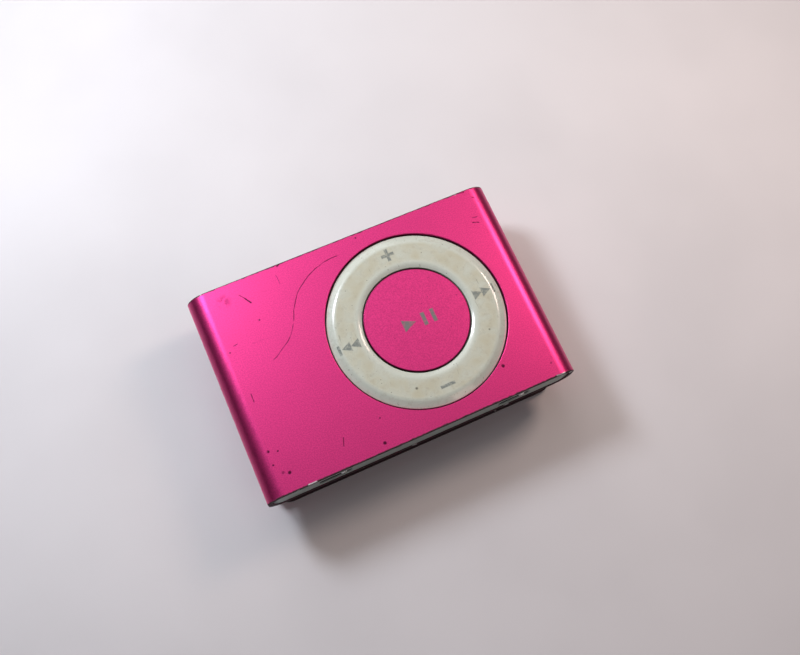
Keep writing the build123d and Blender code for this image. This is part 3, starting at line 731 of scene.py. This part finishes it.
def ring_plastic(finish):
    """Moulded glossy plastic, yellowed and dirtied, with faded grey icons."""
    made, tree, shader, point = start_material(
        "moulded_gloss_plastic_aged", Coat_Weight=0.6, Coat_Roughness=0.06
    )
    centre = (RING_CENTRE.x, RING_CENTRE.y, RING_HIGH.z)
    reach = add(tree, "VectorMath", point, centre, operation="DISTANCE")
    blotch = add(tree, "TexNoise", point, 1 / 1.8, 4.0)
    inside = add(tree, "MapRange", reach, 7.3, 8.2, **SMOOTH)
    outside = add(tree, "MapRange", reach, 10.4, 9.8, **SMOOTH)
    aged = add(tree, "MapRange", blotch, 0.25, 0.75, 0.2, 0.9, **SMOOTH)
    aged = add(tree, "Math", aged, inside, operation="MULTIPLY")
    aged = add(tree, "Math", aged, outside, operation="MULTIPLY")
    colour = add(tree, "Mix", aged, ink(finish.ring), ink(finish.yellowing), **COLOURS)
    smear = add(tree, "TexNoise", point, 1 / 0.6, 5.0, 0.65)
    smear = add(tree, "MapRange", smear, 0.5, 0.75, 0.0, 0.4, **SMOOTH)
    smear = add(tree, "Math", smear, inside, operation="MULTIPLY")
    colour = add(tree, "Mix", smear, colour, ink(linear("9C957E")), **COLOURS)
    worn = add(tree, "TexNoise", point, 1 / 0.35, 4.0)
    worn = add(tree, "MapRange", worn, 0.34, 0.56, 0.45, 0.9, **SMOOTH)
    sign = add(tree, "Math", ring_icons(tree, point), worn, operation="MULTIPLY")
    colour = add(tree, "Mix", sign, colour, ink(finish.print_grey), **COLOURS)

    # Specks of dirt about a tenth of a millimetre across, a few to each square millimetre.
    specks = add(tree, "TexVoronoi", point, 1 / 0.6).node.outputs
    chance = add(tree, "SeparateColor", specks["Color"])
    chance = add(tree, "MapRange", chance, 0.66, 0.74, 0.0, 0.75, **SMOOTH)
    dot = add(tree, "MapRange", specks["Distance"], 0.14, 0.06, **SMOOTH)
    dirt = [add(tree, "Math", chance, dot, operation="MULTIPLY")]
    hair = add(tree, "Mapping", point, None, (0, 0, 0.9), (1.0, 0.12, 1.0))
    hair = add(tree, "TexNoise", hair, 1 / 0.3, 2.0)
    dirt.append(add(tree, "MapRange", hair, 0.68, 0.74, 0.0, 0.3, **SMOOTH))
    dirt.append(spot_mask(tree, point, 1.16, -8.02, 0.17))
    dirt.append(spot_mask(tree, point, 12.57, -4.8, 0.14))
    dirt.append(line_mask(tree, point, (8.6, -8.9), (9.4, -8.5), 0.09))
    dirt.append(line_mask(tree, point, (1.5, -10.6), (2.4, -10.8), 0.08))
    dirt = strongest(tree, dirt)
    colour = add(tree, "Mix", dirt, colour, ink(linear("4E4C3C")), **COLOURS)
    # Painted shade: the ring darkens low on its slopes, where they meet the gaps to the sleeve
    # and to the button.
    height = add(tree, "SeparateXYZ", point).node.outputs[2]
    crevice = add(
        tree, "MapRange", height, RING_HIGH.z - 0.55, RING_HIGH.z - 0.7, 0.0, 0.9, **SMOOTH
    )
    colour = add(tree, "Mix", crevice, colour, ink(finish.grime_and_shade), **COLOURS)
    roughness = add(tree, "MapRange", blotch, 0.3, 0.8, 0.2, 0.4)
    scuff = add(tree, "TexNoise", point, 1 / 0.3, 3.0)
    relief = add(tree, "Math", sign, 0.5, scuff, operation="MULTIPLY_ADD")
    finish_material(tree, shader, colour, roughness, relief, 0.004)
    return made


def cap_plastic(finish):
    """Moulded grey plastic: dull, scuffed along its length, darkened round its rim and in its
    slots with grime and painted shade.
    """
    made, tree, shader, point = start_material("moulded_grey_plastic")
    scuff = add(tree, "Mapping", point, None, None, (0.2, 1.0, 1.0))
    scuff = add(tree, "TexNoise", scuff, 1 / 0.35, 4.0)
    lift = add(tree, "MapRange", scuff, 0.35, 0.7, **SMOOTH)
    colour = add(tree, "Mix", lift, ink(finish.cap, 0.9), ink(finish.cap, 1.06), **COLOURS)
    # Painted shade with grime: the rim darkens where the sleeve's edge shades it, at top and
    # bottom and at both ends.
    height = add(tree, "SeparateXYZ", point).node.outputs[2]
    off = add(tree, "Math", height, MIDDLE_Z, operation="SUBTRACT")
    off = add(tree, "Math", off, operation="ABSOLUTE")
    ragged = add(tree, "TexNoise", point, 1 / 0.6, 3.0)
    off = add(tree, "Math", ragged, 0.5, off, operation="MULTIPLY_ADD")
    half = (LOW_CAP_HIGH.z - LOW_CAP_LOW.z) / 2
    rim = add(tree, "MapRange", off, half - 0.2, half + 0.15, 0.0, 0.95, **SMOOTH)
    side = add(tree, "SeparateXYZ", point).node.outputs[0]
    side = add(tree, "Math", side, operation="ABSOLUTE")
    half_length = LOW_CAP_HIGH.x
    side = add(
        tree, "MapRange", side, half_length - 0.7, half_length - 0.1, 0.0, 0.95, **SMOOTH
    )
    rim = add(tree, "Math", rim, side, operation="MAXIMUM")
    # Painted shade: faces set back from the cap's outer face, inside the slots and holes, are
    # darkened to near black.
    reach = add(tree, "SeparateXYZ", point).node.outputs[1]
    reach = add(tree, "Math", reach, operation="ABSOLUTE")
    face = LOW_CAP_LOW.y * -1
    deep = add(tree, "MapRange", reach, face - 0.08, face - 0.2, 0.0, 0.97, **SMOOTH)
    rim = add(tree, "Math", rim, deep, operation="MAXIMUM")
    colour = add(tree, "Mix", rim, colour, ink(finish.grime_and_shade), **COLOURS)
    roughness = add(tree, "MapRange", scuff, 0.3, 0.7, 0.38, 0.62)
    grain = add(tree, "TexNoise", point, 1 / 0.12, 2.0)
    finish_material(tree, shader, colour, roughness, grain, 0.006)
    return made


def knob_plastic():
    """Moulded dark plastic with a plated round grip, rubbed bright by use."""
    made, tree, shader, point = start_material("moulded_dark_plastic_plated_grip")
    reach = add(tree, "SeparateXYZ", point).node.outputs[1]
    rubbed = add(tree, "MapRange", reach, -13.06, -13.12, **SMOOTH)
    cloud = add(tree, "TexNoise", point, 1 / 0.3, 3.0)
    dark = add(tree, "Mix", cloud, ink(linear("0C1412")), ink(linear("202826")), **COLOURS)
    colour = add(tree, "Mix", rubbed, dark, ink(linear("F0F2F0")), **COLOURS)
    tree.links.new(rubbed, shader.inputs["Metallic"])
    roughness = add(tree, "MapRange", cloud, 0.3, 0.7, 0.2, 0.35)
    finish_material(tree, shader, colour, roughness, cloud, 0.003)
    return made


def moulded_plastic(name, hex_colour, roughness, coat=0.0):
    """A moulded plastic with a fine tooled texture and a slightly uneven gloss."""
    made, tree, shader, point = start_material(name, Coat_Weight=coat, Coat_Roughness=0.1)
    base = linear(hex_colour)
    cloud = add(tree, "TexNoise", point, 1 / 0.9, 3.0)
    lift = add(tree, "MapRange", cloud, 0.3, 0.75, **SMOOTH)
    colour = add(tree, "Mix", lift, ink(base, 0.78), ink(base), **COLOURS)
    low, high = roughness * 0.85, min(1.0, roughness * 1.15)
    uneven = add(tree, "MapRange", cloud, 0.3, 0.7, low, high)
    grain = add(tree, "TexNoise", point, 1 / 0.15, 2.0)
    finish_material(tree, shader, colour, uneven, grain, 0.004)
    return made


def rolled_metal(name, hex_colour, roughness, along=(0.06, 1.0, 1.0)):
    """Rolled or drawn metal: fine parallel lines 0.12 mm apart and a soft sheen."""
    made, tree, shader, point = start_material(name, Metallic=1.0)
    base = linear(hex_colour)
    lines = add(tree, "Mapping", point, None, None, along)
    lines = add(tree, "TexNoise", lines, 1 / 0.12, 3.0)
    lift = add(tree, "MapRange", lines, 0.3, 0.7, **SMOOTH)
    colour = add(tree, "Mix", lift, ink(base, 0.78), ink(base), **COLOURS)
    uneven = add(tree, "MapRange", lines, 0.3, 0.7, roughness * 0.8, roughness * 1.25)
    finish_material(tree, shader, colour, uneven, lines, 0.003)
    return made


def board_laminate():
    """Glass laminate under green solder mask: glossy, with faint copper tracks."""
    made, tree, shader, point = start_material(
        "solder_masked_laminate", Coat_Weight=0.4, Coat_Roughness=0.12
    )
    tracks = add(
        tree,
        "TexBrick",
        point,
        ink(linear("0B5A34")),
        ink(linear("0A4C2D")),
        ink(linear("2F8A57")),
        0.8,
        0.04,
    )
    haze = add(tree, "TexNoise", point, 1 / 2.0, 3.0)
    roughness = add(tree, "MapRange", haze, 0.3, 0.7, 0.24, 0.36)
    finish_material(tree, shader, tracks, roughness, tracks.node.outputs[1], 0.01)
    return made


def floor_paint(stage):
    """A plain matt pale surface with a very faint mottle."""
    made, tree, shader, point = start_material("matt_pale_floor")
    base = stage.floor_colour
    mottle = add(tree, "TexNoise", point, 1 / 30.0, 3.0)
    lift = add(tree, "MapRange", mottle, 0.3, 0.75, **SMOOTH)
    colour = add(tree, "Mix", lift, ink(base), ink(base, 0.93), **COLOURS)
    roughness = add(tree, "MapRange", mottle, 0.3, 0.7, 0.6, 0.75)
    finish_material(tree, shader, colour, roughness, mottle, 0.02)
    return made


# ------------------------------------------------------------------- pieces

PAST = 1.0


class PLAYER_OT_sleeve(bpy.types.Operator):
    """Builds the extruded sleeve with its ring hole"""

    bl_idname = "player.sleeve"
    bl_label = "Sleeve"

    def execute(self, context):
        shape = context.scene.player_shape
        wall, radius = shape.wall / MM, shape.bend_radius / MM
        blank = rounded_bar(SHELL_LOW, SHELL_HIGH, radius, 20)
        inset = Vector((wall, -PAST, wall))
        hollow = rounded_bar(SHELL_LOW + inset, SHELL_HIGH - inset, radius - wall, 16)
        hole = round_bar(
            RING_CENTRE.x,
            RING_CENTRE.y,
            shape.ring_hole_radius / MM,
            MIDDLE_Z,
            FRONT_Z + PAST,
            segments=256,
        )
        sleeve = break_edges(worked(blank, [hollow, hole]), shape.edge_break / MM, 3)
        finish = anodised_sleeve(context.scene.player_finish)
        piece("sleeve", sleeve, "player", finish, "shell")
        return {"FINISHED"}


class PLAYER_OT_end_caps(bpy.types.Operator):
    """Builds the two end caps with their jack hole, switch slots and light holes"""

    bl_idname = "player.end_caps"
    bl_label = "End caps"

    def execute(self, context):
        shape = context.scene.player_shape
        radius = (shape.bend_radius - shape.wall) / MM
        finish = cap_plastic(context.scene.player_finish)
        jack_x, jack_hole, light_hole, cap_edge = -13.0, 2.2, 0.42, 0.07
        slot_half, slot_corner, travel = Vector((2.15, 0, 1.0)), 0.5, 2.2

        low, high = TOP_CAP_LOW, TOP_CAP_HIGH
        ends = (low.y - PAST, high.y + PAST, "Y")
        light = middle_of("top_light_pipe")
        tools = [
            round_bar(jack_x, MIDDLE_Z, jack_hole, *ends),
            round_bar(light.x, light.z, light_hole, *ends, segments=32),
        ]
        cap = break_edges(worked(rounded_bar(low, high, radius), tools), cap_edge)
        piece("top_cap", cap, "player", finish, "top_end_cap")

        low, high = LOW_CAP_LOW, LOW_CAP_HIGH
        ends = (low.y - PAST, high.y + PAST, "Y")
        light = middle_of("bottom_light_pipe")
        tools = [round_bar(light.x, light.z, light_hole, *ends, segments=32)]
        for knob in ("power_switch_knob", "order_switch_knob"):
            place = Vector((middle_of(knob).x - travel / 2, 0, MIDDLE_Z))
            slot_low = place - slot_half + Vector((0, low.y - PAST, 0))
            slot_high = place + slot_half + Vector((0, high.y + PAST, 0))
            tools.append(rounded_bar(slot_low, slot_high, slot_corner, 8))
        cap = break_edges(worked(rounded_bar(low, high, radius), tools), cap_edge)
        piece("bottom_cap", cap, "player", finish, "bottom_end_cap")
        return {"FINISHED"}


def shoulder(edge, way, width, tilt, crown):
    """Points from a flat crown over a soft bend and a slope to an edge, as (radius, height)."""
    turn, bend, lip, steps = math.radians(tilt), 1.3, 0.14, 6
    start = edge - way * width
    points = []
    for index in range(steps + 1):
        heading = turn * index / steps
        across = start + way * bend * math.sin(heading)
        points.append((across, crown - bend * (1 - math.cos(heading))))
    slope_end = edge - way * lip * (1 - math.sin(turn))
    foot = points[-1][1] - abs(slope_end - points[-1][0]) * math.tan(turn)
    centre = foot - lip * math.cos(turn)
    for index in range(steps + 1):
        heading = turn + (math.pi / 2 - turn) * index / steps
        across = edge - way * lip * (1 - math.sin(heading))
        points.append((across, centre + lip * math.cos(heading)))
    return points


class PLAYER_OT_control_ring(bpy.types.Operator):
    """Turns the control ring with its sloped shoulders and retaining leg"""

    bl_idname = "player.control_ring"
    bl_label = "Control ring"

    def execute(self, context):
        shape = context.scene.player_shape
        outer, inner = shape.ring_outer_radius / MM, shape.ring_inner_radius / MM
        crown = RING_HIGH.z
        underside, flange_top, foot = crown - 1.0, crown - 1.27, RING_LOW.z + 0.35
        flange = (RING_HIGH.x - RING_LOW.x) / 2
        leg = flange - 1.6
        profile = [(inner, underside)]
        profile += reversed(shoulder(inner, -1, 0.85, 26, crown))
        profile += shoulder(outer, 1, 1.3, 26, crown)
        profile += [(outer, flange_top), (flange, flange_top), (flange, foot)]
        profile += [(leg, foot), (leg, underside)]
        ring = turned(profile, RING_CENTRE, 224)
        finish = ring_plastic(context.scene.player_finish)
        piece("ring", ring, "ring", finish, "control_ring", sharp_angle=50)
        return {"FINISHED"}


class PLAYER_OT_play_button(bpy.types.Operator):
    """Turns the play button's metal disc with its softened rim"""

    bl_idname = "player.play_button"
    bl_label = "Play button"

    def execute(self, context):
        top, bottom, soft, steps = BUTTON_HIGH.z, BUTTON_LOW.z, 0.12, 5
        profile = [(0, bottom), (BUTTON_RADIUS, bottom)]
        for index in range(steps + 1):
            heading = math.pi / 2 * index / steps
            across = BUTTON_RADIUS - soft * (1 - math.cos(heading))
            profile.append((across, top - soft * (1 - math.sin(heading))))
        profile.append((0, top))
        disc = turned(profile, RING_CENTRE, 192)
        finish = anodised_button(context.scene.player_finish)
        piece("play_disc", disc, "play", finish, "play_button")
        return {"FINISHED"}


class PLAYER_OT_switch_knobs(bpy.types.Operator):
    """Builds the two slide-switch knobs with their round grips"""

    bl_idname = "player.switch_knobs"
    bl_label = "Switch knobs"

    def execute(self, context):
        finish = knob_plastic()
        plate_front, plate_back = 0.3, 0.8
        for node, body in (
            ("power_switch_knob", "power_slider"),
            ("order_switch_knob", "order_slider"),
        ):
            low, high = span(node)
            x = (low.x + high.x) / 2
            knob = rounded_bar(
                (low.x, low.y + plate_front, low.z), (high.x, low.y + plate_back, high.z), 0.5, 8
            )
            proud = 0.14
            grip = round_bar(x, MIDDLE_Z, 0.4, low.y - proud, low.y + plate_back, "Y", 48)
            grip = break_edges(grip, 0.22, 5)
            stem = rounded_bar(
                (x - 0.45, low.y + 0.55, MIDDLE_Z - 0.4), (x + 0.45, high.y, MIDDLE_Z + 0.4)
            )
            knob = break_edges(worked(knob, [grip, stem], "UNION"), 0.06, 2, 60)
            piece(node + "_cap", knob, body, finish, node)
        return {"FINISHED"}


class PLAYER_OT_clip(bpy.types.Operator):
    """Bends the clip plate with its thumb tab, jaw, round corners and hinge lugs"""

    bl_idname = "player.clip"
    bl_label = "Clip"

    def execute(self, context):
        shape = context.scene.player_shape
        thick = shape.clip_thickness / MM
        bend, height, tab_top, jaw_top = 2.4, 8.0, 2.3, 3.3
        low = CLIP_LOW.copy()
        high = Vector((CLIP_HIGH.x, CLIP_HIGH.y, low.z + height))
        blank = rounded_bar(low, high, bend, 18)
        inset = Vector((thick, -PAST, thick))
        hollow = rounded_bar(low + inset, high - inset, bend - thick, 14)
        past = Vector((PAST, PAST, PAST))
        over_tab = rounded_bar((low.x - PAST, low.y - PAST, tab_top), (0, *(high + past).yz))
        over_jaw = rounded_bar((-PAST, low.y - PAST, jaw_top), high + past)
        plate = worked(blank, [hollow, over_tab, over_jaw])
        outline = rounded_bar(
            (low.x, low.y, low.z - PAST), high + Vector((0, 0, PAST)),
            shape.clip_corner / MM, 14, "Z",
        )
        plate = worked(plate, [outline], "INTERSECT")
        x, z = (PIN_LOW.x + PIN_HIGH.x) / 2, (PIN_LOW.z + PIN_HIGH.z) / 2
        knuckle = 1.2
        lugs = []
        for near, far in ((8.0, 9.4), (-9.4, -8.0)):
            lugs.append(round_bar(x, z, knuckle, near, far, "Y", 64))
            lugs.append(rounded_bar((x - knuckle, near, thick / 2), (x + knuckle, far, z)))
        plate = break_edges(worked(plate, lugs, "UNION"), shape.edge_break / MM)
        finish = anodised_clip(context.scene.player_finish)
        piece("clip_leaf", plate, "clip", finish, "clip_plate")
        return {"FINISHED"}


def torsion_spring(low, high, axis_x, axis_z, wire, coil, turns):
    """A wire that runs in along X, coils round an axis along Y and runs out again."""
    made = bmesh.new()
    bmesh.ops.create_circle(made, cap_ends=False, segments=12, radius=wire)
    bmesh.ops.rotate(made, matrix=Matrix.Rotation(math.pi / 2, 3, "Y"), verts=made.verts)
    near, far = low.y + wire, high.y - wire
    upper_arm, lower_arm, drop, steps = 3.2, 4.4, 0.28, 170
    arm_end = Vector((axis_x - upper_arm, far, axis_z + coil))
    bmesh.ops.translate(made, vec=arm_end, verts=made.verts)
    run = bmesh.ops.extrude_edge_only(made, edges=made.edges[:])["geom"]
    ends = [part for part in run if isinstance(part, bmesh.types.BMVert)]
    bmesh.ops.translate(made, vec=(upper_arm, 0, 0), verts=ends)
    rim = [edge for edge in made.edges if all(vert in ends for vert in edge.verts)]
    turned_wire = bmesh.ops.spin(
        made,
        geom=ends + rim,
        cent=(axis_x, far, axis_z),
        axis=(0, 1, 0),
        dvec=(0, (near - far) / steps, 0),
        angle=2 * math.pi * turns,
        steps=steps,
    )
    last = [part for part in turned_wire["geom_last"] if isinstance(part, bmesh.types.BMEdge)]
    run = bmesh.ops.extrude_edge_only(made, edges=last)["geom"]
    ends = [part for part in run if isinstance(part, bmesh.types.BMVert)]
    bmesh.ops.translate(made, vec=(-lower_arm, 0, -drop), verts=ends)
    bmesh.ops.remove_doubles(made, verts=made.verts, dist=1e-5)
    open_edges = [edge for edge in made.edges if edge.is_boundary]
    bmesh.ops.holes_fill(made, edges=open_edges, sides=0)
    bmesh.ops.recalc_face_normals(made, faces=made.faces)
    return made


class PLAYER_OT_springs(bpy.types.Operator):
    """Winds the clip's torsion spring and presses the play button's snap dome"""

    bl_idname = "player.springs"
    bl_label = "Spring and dome"

    def execute(self, context):
        low, high = span("clip_spring")
        x, z = (PIN_LOW.x + PIN_HIGH.x) / 2, (PIN_LOW.z + PIN_HIGH.z) / 2
        spring = torsion_spring(low, high, x, z, 0.2, 0.95, 8.5)
        drawn = rolled_metal("drawn_spring_wire", "B4B6B8", 0.22, (1.0, 0.06, 1.0))
        coil = piece("torsion_spring", spring, None, drawn, "clip_spring")
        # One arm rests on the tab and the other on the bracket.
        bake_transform(coil)

        low, high = span("play_dome")
        centre, radius, height = (low + high) / 2, (high.x - low.x) / 2, high.z - low.z
        skin, steps = 0.1, 10
        outer = (radius**2 + height**2) / (2 * height)
        slant = math.asin(radius / outer)
        profile = []
        for index in range(steps + 1):
            heading = slant * index / steps
            drop = outer * (1 - math.cos(heading))
            profile.append((outer * math.sin(heading), high.z - drop))
        for index in range(steps, -1, -1):
            heading = slant * index / steps
            drop = outer - (outer - skin) * math.cos(heading)
            across = (outer - skin) * math.sin(heading)
            profile.append((across, max(low.z, high.z - drop)))
        dome = turned(profile, centre, 64)
        pressed = rolled_metal("snap_dome_steel", "C6C6C4", 0.18)
        dome = piece("play_snap_dome", dome, "player", pressed, "play_dome")
        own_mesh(dome)
        return {"FINISHED"}


class PLAYER_OT_inner_works(bpy.types.Operator):
    """Finishes the hinge, jack, lights and the pieces inside the sleeve"""

    bl_idname = "player.inner_works"
    bl_label = "Hinge, jack and inner pieces"

    def execute(self, context):
        black = moulded_plastic("moulded_black_plastic", "17191A", 0.45)
        dress(black, "headphone_jack", "left_rail", "right_rail")
        dress(black, "power_switch_body", "order_switch_body")
        dress(moulded_plastic("moulded_white_plastic", "DCDCD6", 0.4), "button_plunger")
        dress(moulded_plastic("moulded_rubber", "111212", 0.75), "clip_jaw_strip")
        dress(moulded_plastic("foam_tape", "26262A", 0.95), "battery_pad")
        epoxy = moulded_plastic("moulded_epoxy", "141416", 0.5)
        dress(epoxy, "processor_chip", "memory_chip", "power_chip")
        dress(moulded_plastic("fired_ceramic", "A98B63", 0.5), "passives")
        dress(moulded_plastic("lamp_resin", "EDEADB", 0.25, 0.5), "status_leds")
        lens = moulded_plastic("moulded_light_pipe", "7F8884", 0.15, 0.6)
        dress(lens, "top_light_pipe", "bottom_light_pipe")
        steel = rolled_metal("rolled_stainless_steel", "9A9DA0", 0.32)
        dress(steel, "clip_bracket", "clip_rivets", "rocker_frame", "top_retainer")
        dress(steel, "bottom_retainer", "retainer_screws")
        drawn = rolled_metal("drawn_stainless_wire", "B4B6B8", 0.22, (1.0, 0.06, 1.0))
        dress(drawn, "clip_hinge_pin")
        dress(rolled_metal("pressed_dome_steel", "C6C6C4", 0.18), "ring_domes")
        dress(rolled_metal("gold_plated_brass", "D9A94E", 0.25), "jack_contacts")
        dress(rolled_metal("drawn_nickel", "BDBAB0", 0.28), "crystal", "battery_tabs")
        dress(rolled_metal("laminated_foil", "C4C6C8", 0.4), "battery_cell")
        dress(board_laminate(), "main_board")
        return {"FINISHED"}


# -------------------------------------------------------------------- stage


def soft_box(name, place, target, size, power, colour):
    """An area light that faces a point."""
    light = bpy.data.lights.new(name, "AREA")
    light.shape = "RECTANGLE"
    light.size, light.size_y = size
    light.energy = power
    light.color = colour[:3]
    lamp = bpy.data.objects.new(name, light)
    lamp.location = place
    lamp.rotation_euler = (Vector(target) - Vector(place)).to_track_quat("-Z", "Y").to_euler()
    bpy.context.scene.collection.objects.link(lamp)


class PLAYER_OT_stage(bpy.types.Operator):
    """Lays the floor and sets the lights and the camera"""

    bl_idname = "player.stage"
    bl_label = "Stage"

    def execute(self, context):
        scene = context.scene
        stage = scene.player_stage
        made = bmesh.new()
        bmesh.ops.create_grid(made, x_segments=1, y_segments=1, size=1.5)
        mesh = bpy.data.meshes.new("floor")
        made.to_mesh(mesh)
        made.free()
        floor = bpy.data.objects.new("floor", mesh)
        mesh.materials.append(floor_paint(stage))
        scene.collection.objects.link(floor)

        world = bpy.data.worlds.new("dim_room")
        world.use_nodes = True
        tree = world.node_tree
        backdrop = tree.nodes["Background"]
        backdrop.inputs[0].default_value = ink(linear("94929A"))
        # Dark along the horizon and paler overhead, as a room is round a lit table.
        up = add(tree, "TexCoord").node.outputs["Generated"]
        up = add(tree, "SeparateXYZ", up).node.outputs[2]
        glow = add(tree, "MapRange", up, 0.12, 0.5, 0.12, 0.42, **SMOOTH)
        tree.links.new(glow, backdrop.inputs[1])
        scene.world = world

        middle = (0.0, 0.0, 0.008)
        cool, warm, plain = linear("EEF3FF"), linear("FFE2D4"), linear("FFFFFF")
        soft_box("window", (-0.056, 0.084, 0.106), middle, (0.034, 0.034), 0.135, cool)
        soft_box("lamp", (0.094, 0.028, 0.1), middle, (0.034, 0.034), 0.062, warm)
        soft_box("bounce", (0.06, -0.13, 0.14), middle, (0.05, 0.05), 0.022, warm)
        soft_box("ceiling", (0.01, 0.1, 0.26), middle, (0.2, 0.2), 0.08, plain)
        far_floor = (0.0, 0.06, 0.0)
        soft_box("far_wall", (-0.02, 0.16, 0.1), far_floor, (0.15, 0.15), 0.1, plain)

        lens = bpy.data.cameras.new("view")
        lens.lens = stage.lens
        lens.sensor_width = 36.0
        lens.clip_start = 0.005
        camera = bpy.data.objects.new("view", lens)
        place = Vector(stage.camera_place)
        aim = (Vector(stage.camera_target) - place).to_track_quat("-Z", "Y").to_matrix()
        roll = Matrix.Rotation(stage.camera_roll, 3, "Z")
        camera.matrix_world = Matrix.Translation(place) @ (aim @ roll).to_4x4()
        scene.collection.objects.link(camera)
        scene.camera = camera
        scene.view_settings.view_transform = "Standard"
        return {"FINISHED"}


class PLAYER_PT_panel(bpy.types.Panel):
    """Lists the player's settings and pieces"""

    bl_idname = "PLAYER_PT_panel"
    bl_label = "Clip-on audio player"
    bl_space_type = "VIEW_3D"
    bl_region_type = "UI"
    bl_category = "Player"

    def draw(self, context):
        scene = context.scene
        for group in (scene.player_finish, scene.player_shape, scene.player_stage):
            box = self.layout.box()
            for name in group.__annotations__:
                box.prop(group, name)
        for operator in OPERATORS:
            self.layout.operator(operator.bl_idname)


SETTINGS = (PlayerFinish, PlayerShape, PlayerStage)
OPERATORS = (
    PLAYER_OT_stage,
    PLAYER_OT_sleeve,
    PLAYER_OT_end_caps,
    PLAYER_OT_control_ring,
    PLAYER_OT_play_button,
    PLAYER_OT_switch_knobs,
    PLAYER_OT_clip,
    PLAYER_OT_springs,
    PLAYER_OT_inner_works,
)


def register():
    for cls in (*SETTINGS, *OPERATORS, PLAYER_PT_panel):
        bpy.utils.register_class(cls)
    bpy.types.Scene.player_finish = PointerProperty(type=PlayerFinish)
    bpy.types.Scene.player_shape = PointerProperty(type=PlayerShape)
    bpy.types.Scene.player_stage = PointerProperty(type=PlayerStage)


def unregister():
    del bpy.types.Scene.player_stage
    del bpy.types.Scene.player_shape
    del bpy.types.Scene.player_finish
    for cls in reversed((*SETTINGS, *OPERATORS, PLAYER_PT_panel)):
        bpy.utils.unregister_class(cls)


def main():
    register()
    bpy.ops.player.stage()
    bpy.ops.player.sleeve()
    bpy.ops.player.end_caps()
    bpy.ops.player.control_ring()
    bpy.ops.player.play_button()
    bpy.ops.player.switch_knobs()
    bpy.ops.player.clip()
    bpy.ops.player.springs()
    bpy.ops.player.inner_works()


if __name__ == "__main__":
    main()
